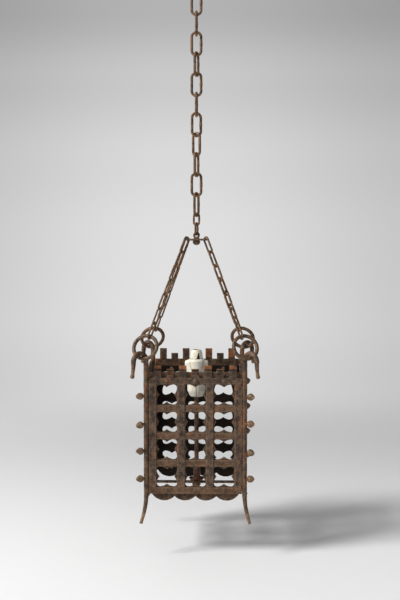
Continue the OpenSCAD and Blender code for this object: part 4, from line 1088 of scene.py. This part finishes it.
def makeHolderBody():
    # Upper porcelain as a radius over angle and height: a round body joined to a round ear
    # on each side, shoulders rounded over, an arch cut in at the front and the back, and a
    # collar round the screw shell with a tapering cut at the front
    low = nodeBox("holder_body")[0][2]
    h, rb = holder["bodyHeight"], holder["body"] / 2
    mouth, top = holder["mouth"] / 2 - 0.8, h + holder["mouthHeight"]
    foot, rise = holder["collarFoot"] / 2, np.linspace(0, 1, 22)
    bore = holder["shell"] / 2 + 0.1
    a = np.linspace(0, np.pi / 2, 9)
    s = holder["shoulder"]
    wallZ = np.r_[0.0, np.linspace(0.7, 15, 26), np.linspace(16, h - s, 16)[:-1]]
    outer = np.vstack([
        np.c_[np.r_[rb - 0.7, np.full(len(wallZ) - 1, rb)], wallZ],
        np.c_[rb - s + s * np.cos(a), h - s + s * np.sin(a)],
        [(foot + 0.9, h + 0.1), (foot + 0.3, h + 0.5)],
        np.c_[mouth + (foot - mouth) * np.cos(rise * np.pi / 2) ** 0.8,
              h + 1.2 + rise * (top - holder["mouthRound"] - h - 1.2)],
        np.c_[mouth - holder["mouthRound"] * (1 - np.cos(a)),
              top - holder["mouthRound"] * (1 - np.sin(a))][1:],
        [(bore + 0.3, top - 0.1), (bore, top - 0.5), (bore, top - 12), (bore, top - 38.8),
         (0.1, top - 38.8)]])
    profile = np.vstack([[0.1, 0.0], outer])
    t = np.linspace(0, 2 * np.pi, 240, endpoint=False)
    radius, z = profile[:, :1] + 0 * t, profile[:, 1:] + 0 * t
    # The ears: from a side centre c, a circle of radius e reaches
    # c cos t + sqrt(e^2 - c^2 sin^2 t) from the axis
    c, ear = holder["shoulderWidth"] / 2 - holder["ear"], holder["ear"]
    rise = np.clip((z - h + holder["earLow"] + s) / s, 0, 1)
    e = ear - s * (1 - np.sqrt(1 - rise ** 2)) - np.clip(2 * holder["earLow"] - z, 0, ear)
    e = np.where((z < holder["earLow"]) | (z > h - holder["earLow"]), 0, e)
    under = e ** 2 - (c * np.sin(t)) ** 2
    reach = np.where((under > 0) & (e > 0), c * np.abs(np.cos(t)) + np.sqrt(np.maximum(under, 0)), 0)
    wall = (np.arange(len(profile)) <= len(wallZ) + len(a))[:, None] & (radius > rb - s - 0.1)
    joined = (radius + reach + np.sqrt((radius - reach) ** 2 + 1.2)) / 2
    radius = np.where(wall & (reach > radius - 3), joined, radius)
    x, y = radius * np.cos(t), radius * np.sin(t)
    # The arches: where |x| lies inside the arch, y is held at the arch's back
    w = holder["archWidth"] / 2
    edge = np.where(z > holder["archHeight"], w - np.hypot(x, z - holder["archHeight"]), w - np.abs(x))
    sink = smoothStep((edge + 0.3) / 0.9) * (np.abs(y) > rb - holder["archDepth"]) * wall
    floorY = rb - holder["archDepth"]
    y = np.where(sink > 0, np.sign(y) * (np.abs(y) - sink * (np.abs(y) - floorY)), y)
    # The cut in the collar narrows upwards to a quarter of its width at its foot
    onCollar = (profile[:, :1] > mouth - 0.01) & (profile[:, 1:] > h) & (profile[:, 1:] < top - 3)
    # Two grooves run down the front and the back, closer together at their foot
    down = np.clip((h - 8 - z) / (h - 18), 0, 1)
    line = holder["groovedAt"][0] + (holder["groovedAt"][1] - holder["groovedAt"][0]) * down
    groove = smoothStep(1.4 - np.abs(np.abs(x) - line) / holder["grooveWidth"] * 1.4)
    groove = groove * (np.abs(y) > 9) * wall * (z < h - 7) * (z > 11)
    y = y - np.sign(y) * 0.7 * groove
    up = np.clip((z - h) / holder["cutHeight"], 0, 1.2)
    halfCut = holder["cutWidth"] / 2 * (1 - 0.75 * up)
    cut = smoothStep((halfCut - np.abs(x - holder["cutX"]) + 0.3) / 0.7) * (y < 0)
    cut = cut * onCollar * (z < h + holder["cutHeight"])
    shrink = 1 - cut * (1 - (bore + 0.5) / np.maximum(radius, bore + 0.5))
    x, y = x * shrink, y * shrink
    # Darker in the arches, grooves, at the foot, along the collar's join, in the creases beside the
    # ears and in the bore: grime and painted shade
    grime = np.clip(sink * 0.7 + groove * 0.8 + smoothStep((4 - z) / 4) * 0.35
                    + smoothStep(1 - np.abs(z - h - 0.8) / 1.6) * 0.55
                    + smoothStep(1 - np.abs(np.abs(x) - 17) / 2.2) * wall * (z < h - 8) * 0.35
                    + (profile[:, :1] < bore + 0.2) * 0.8, 0, 1)
    # The cut is marked as dark metal, which also paints the opening's shade
    body = gridShell(np.stack([x, y, z + low], -1), 0.0, grime=grime, metal=cut)
    tip = -holder["shoulderWidth"] / 2 - holder["armOut"]
    run = np.linspace(tip, -12, 14)
    armZ = low + holder["armHeight"]
    arm = roundBar(np.c_[run, 0 * run, armZ + 0 * run],
                   holder["arm"] / 2 * (1 + 0.12 * np.exp(-((run - tip) / 1.5) ** 2)), (0, 1, 0),
                   sides=20, seed=301, roughMm=0.08)
    arm["grime"] = 0.3 * np.ones(len(arm["points"]))
    makePiece("holderBody", [body, arm], "lantern", ["holder_body"], "porcelain")


def makeScrewShell():
    # Brass shell with a rolled thread: the radius follows a sine along a helix
    low, high = nodeBox("screw_shell")
    t = np.linspace(0, 2 * np.pi, 64, endpoint=False)
    z = np.linspace(low[2] + 2.4, high[2] - 1.6, 100)[:, None]
    thread = np.sin(2 * np.pi * z / holder["threadPitch"] - t)
    fade = smoothStep((high[2] - 2.5 - z) / 2) * smoothStep((z - low[2] - 3) / 2)
    outer = holder["shell"] / 2 - 0.45 + 0.4 * thread * fade
    inner = holder["shellBore"] / 2 + 0.3 + 0.4 * thread * fade
    ring = lambda r, z: np.stack([r * np.cos(t), r * np.sin(t), z + 0 * t], -1)
    lip = [ring(np.full_like(t, r), np.array([[z]])[0]) for r, z in (
        (holder["shell"] / 2 - 0.1, high[2] - 0.9), (holder["shell"] / 2, high[2] - 0.3),
        (holder["shell"] / 2 - 0.5, high[2]), (holder["shellBore"] / 2 + 0.4, high[2] - 0.3))]
    foot = [ring(np.full_like(t, r), np.array([z])) for r, z in (
        (0.1, low[2]), (holder["shell"] / 2 - 0.8, low[2]), (holder["shell"] / 2 - 0.4, low[2] + 0.6))]
    floor = [ring(np.full_like(t, r), np.array([z])) for r, z in (
        (holder["shellBore"] / 2 + 0.2, low[2] + 2.2), (holder["shellBore"] / 2 - 0.4, low[2] + 2),
        (0.1, low[2] + 2))]
    points = np.concatenate([np.stack(foot), ring(outer, z), np.stack(lip),
                             ring(inner, z)[::-1], np.stack(floor)])
    makePiece("screwShell", [gridShell(points, 0.0)], "lantern", ["screw_shell"], "brass")
    low, high = nodeBox("centre_contact")
    r, z = (high[0] - low[0]) / 2, low[2]
    profile = softened([(0.1, z), (r, z), (r, z + 1.6), (r / 2 + 0.4, z + 2.2), (r / 2, z + 3.6),
                        (0.1, high[2])], 0.5)
    makePiece("centreContact", [turned(profile, 32)], "lantern", ["centre_contact"], "brass")


makeStrap("floorStrapAcross", "floor_strap_across", False)
makeStrap("floorStrapDeep", "floor_strap_deep", True)
makeStand()
makeHolderBase(), makeHolderBody(), makeScrewShell()
print("lamp stand and lampholder made")

# ---- floor, backdrop, lamps and camera

studio = {
    "floorZ": -1.29, "front": -5.0, "bendStart": 1.9, "bendRadius": 1.3, "wallTop": 4.5,
    "halfWidth": 7.0, "nearLitPaper": "#f0f0f0", "farShadedPaper": "#d2d2d2",
    "wallPaintedLight": [(-1.29, "#dadada"), (-0.98, "#e1e1e1"), (-0.55, "#e0e0e0"), (-0.09, "#d9d9d9"),
                  (0.37, "#c9c9c9"), (0.77, "#b3b3b3"), (1.6, "#8c8c8c")],
}


def sweepMaterial():
    # A painted paper sweep. Its floor is lit by the lamps and keeps the shadow, and its paper
    # is painted darker towards the back as painted light falloff. Its wall is shown to the
    # camera, and in gloss and glass, as painted light set by place: the ground is palest
    # behind the lantern and darkens upwards and to both sides.
    material, tree, place = newMaterial("paleStudioSweep")
    axes = addNode(tree, "ShaderNodeSeparateXYZ", {0: place})
    along, up = axes.outputs["X"], axes.outputs["Z"]
    fade = band(tree, axes.outputs["Y"], -0.5, 1.1)
    paper = addNode(tree, "ShaderNodeBsdfDiffuse", {
        "Color": blend(tree, fade, studio["nearLitPaper"], studio["farShadedPaper"])})
    paintedWallLight = None
    for height, shade in studio["wallPaintedLight"]:
        if paintedWallLight is None:
            paintedWallLight = blend(tree, 0.0, shade, shade)
        else:
            paintedWallLight = blend(tree, band(tree, up, last, height), paintedWallLight, shade)
        last = height
    aside = addNode(tree, "ShaderNodeMath", {0: combine(tree, "ADD", along, 0.19)},
                    operation="ABSOLUTE").outputs[0]
    # Painted light falloff: darker to both sides of the lantern
    paintedWallLight = blend(tree, band(tree, aside, 0, 1.6, most=0.26), paintedWallLight, "#000000")
    glow = addNode(tree, "ShaderNodeEmission", {"Color": paintedWallLight, "Strength": 1.0})
    path = addNode(tree, "ShaderNodeLightPath")
    seen = combine(tree, "MAXIMUM", path.outputs["Is Camera Ray"], combine(
        tree, "MAXIMUM", path.outputs["Is Glossy Ray"], path.outputs["Is Transmission Ray"]))
    wall = band(tree, axes.outputs["Y"], 1.1, 2.2)
    surface = addNode(tree, "ShaderNodeMixShader", {
        0: combine(tree, "MULTIPLY", seen, wall), 1: paper.outputs[0], 2: glow.outputs[0]})
    addNode(tree, "ShaderNodeOutputMaterial", {"Surface": surface.outputs[0]})
    return material


def makeSweep():
    # The floor runs straight back, turns up by a quarter circle and stands as a wall
    a = np.linspace(0, np.pi / 2, 24)
    r = studio["bendRadius"]
    bend = np.c_[studio["bendStart"] + r * np.sin(a), studio["floorZ"] + r * (1 - np.cos(a))]
    line = np.vstack([[studio["front"], studio["floorZ"]], bend,
                      [studio["bendStart"] + r, studio["wallTop"]]])
    x = np.linspace(-studio["halfWidth"], studio["halfWidth"], 13)
    points = np.stack([np.broadcast_to(x, (len(line), 13)),
                       np.repeat(line[:, :1], 13, 1), np.repeat(line[:, 1:], 13, 1)], -1)
    mesh = bpy.data.meshes.new("studioSweep")
    mesh.from_pydata(points.reshape(-1, 3).tolist(), [],
                     gridQuads(len(line), 13, False, False).tolist())
    mesh.polygons.foreach_set("use_smooth", np.ones(len(mesh.polygons), bool))
    mesh.materials.append(sweepMaterial())
    ground = bpy.data.objects.new("studioSweep", mesh)
    bpy.context.scene.collection.objects.link(ground)


def aim(thing, place, target):
    thing.location = place
    direction = np.array(target) - np.array(place)
    flat = math.hypot(direction[0], direction[1])
    thing.rotation_euler = (math.pi / 2 + math.atan2(direction[2], flat), 0,
                            math.atan2(-direction[0], direction[1]))


def addLamp(name, place, target, size, power):
    lamp = bpy.data.lights.new(name, "AREA")
    lamp.shape, lamp.size, lamp.energy = "DISK", size, power
    thing = bpy.data.objects.new(name, lamp)
    bpy.context.scene.collection.objects.link(thing)
    aim(thing, place, target)


lamps = {
    "key": {"place": (-4.7, -2.2, 3.35), "target": (0, 0, -1.0), "size": 2.0, "power": 490},
    "fill": {"place": (0.4, -3.4, 0.3), "target": (0, 0, -0.9), "size": 1.6, "power": 15},
}
makeSweep()
for name, lamp in lamps.items():
    addLamp(name + "Lamp", **lamp)
world = bpy.data.worlds.new("studioAir")
bpy.context.scene.world = world
world.use_nodes = True
world.node_tree.nodes.clear()
# Beyond the sweep the camera sees pale grey air, which gives less light than it shows
seenAir = addNode(world.node_tree, "ShaderNodeLightPath").outputs["Is Camera Ray"]
air = addNode(world.node_tree, "ShaderNodeBackground", {
    "Color": linear("#ffffff"), "Strength": band(world.node_tree, seenAir, 0, 1, 0.2, 0.66)})
addNode(world.node_tree, "ShaderNodeOutputWorld", {"Surface": air.outputs[0]})

camera = {"place": (0.0478, -2.03, -0.624), "down": 3.12, "left": 1.124, "lens": 53.6}
lens = bpy.data.cameras.new("viewCamera")
lens.lens, lens.sensor_width, lens.clip_end = camera["lens"], 36, 50
viewer = bpy.data.objects.new("viewCamera", lens)
bpy.context.scene.collection.objects.link(viewer)
viewer.location = camera["place"]
viewer.rotation_euler = (math.radians(90 - camera["down"]), 0, math.radians(camera["left"]))
bpy.context.scene.camera = viewer
bpy.context.scene.view_settings.view_transform = "Standard"
print("stage, lamps and camera made")
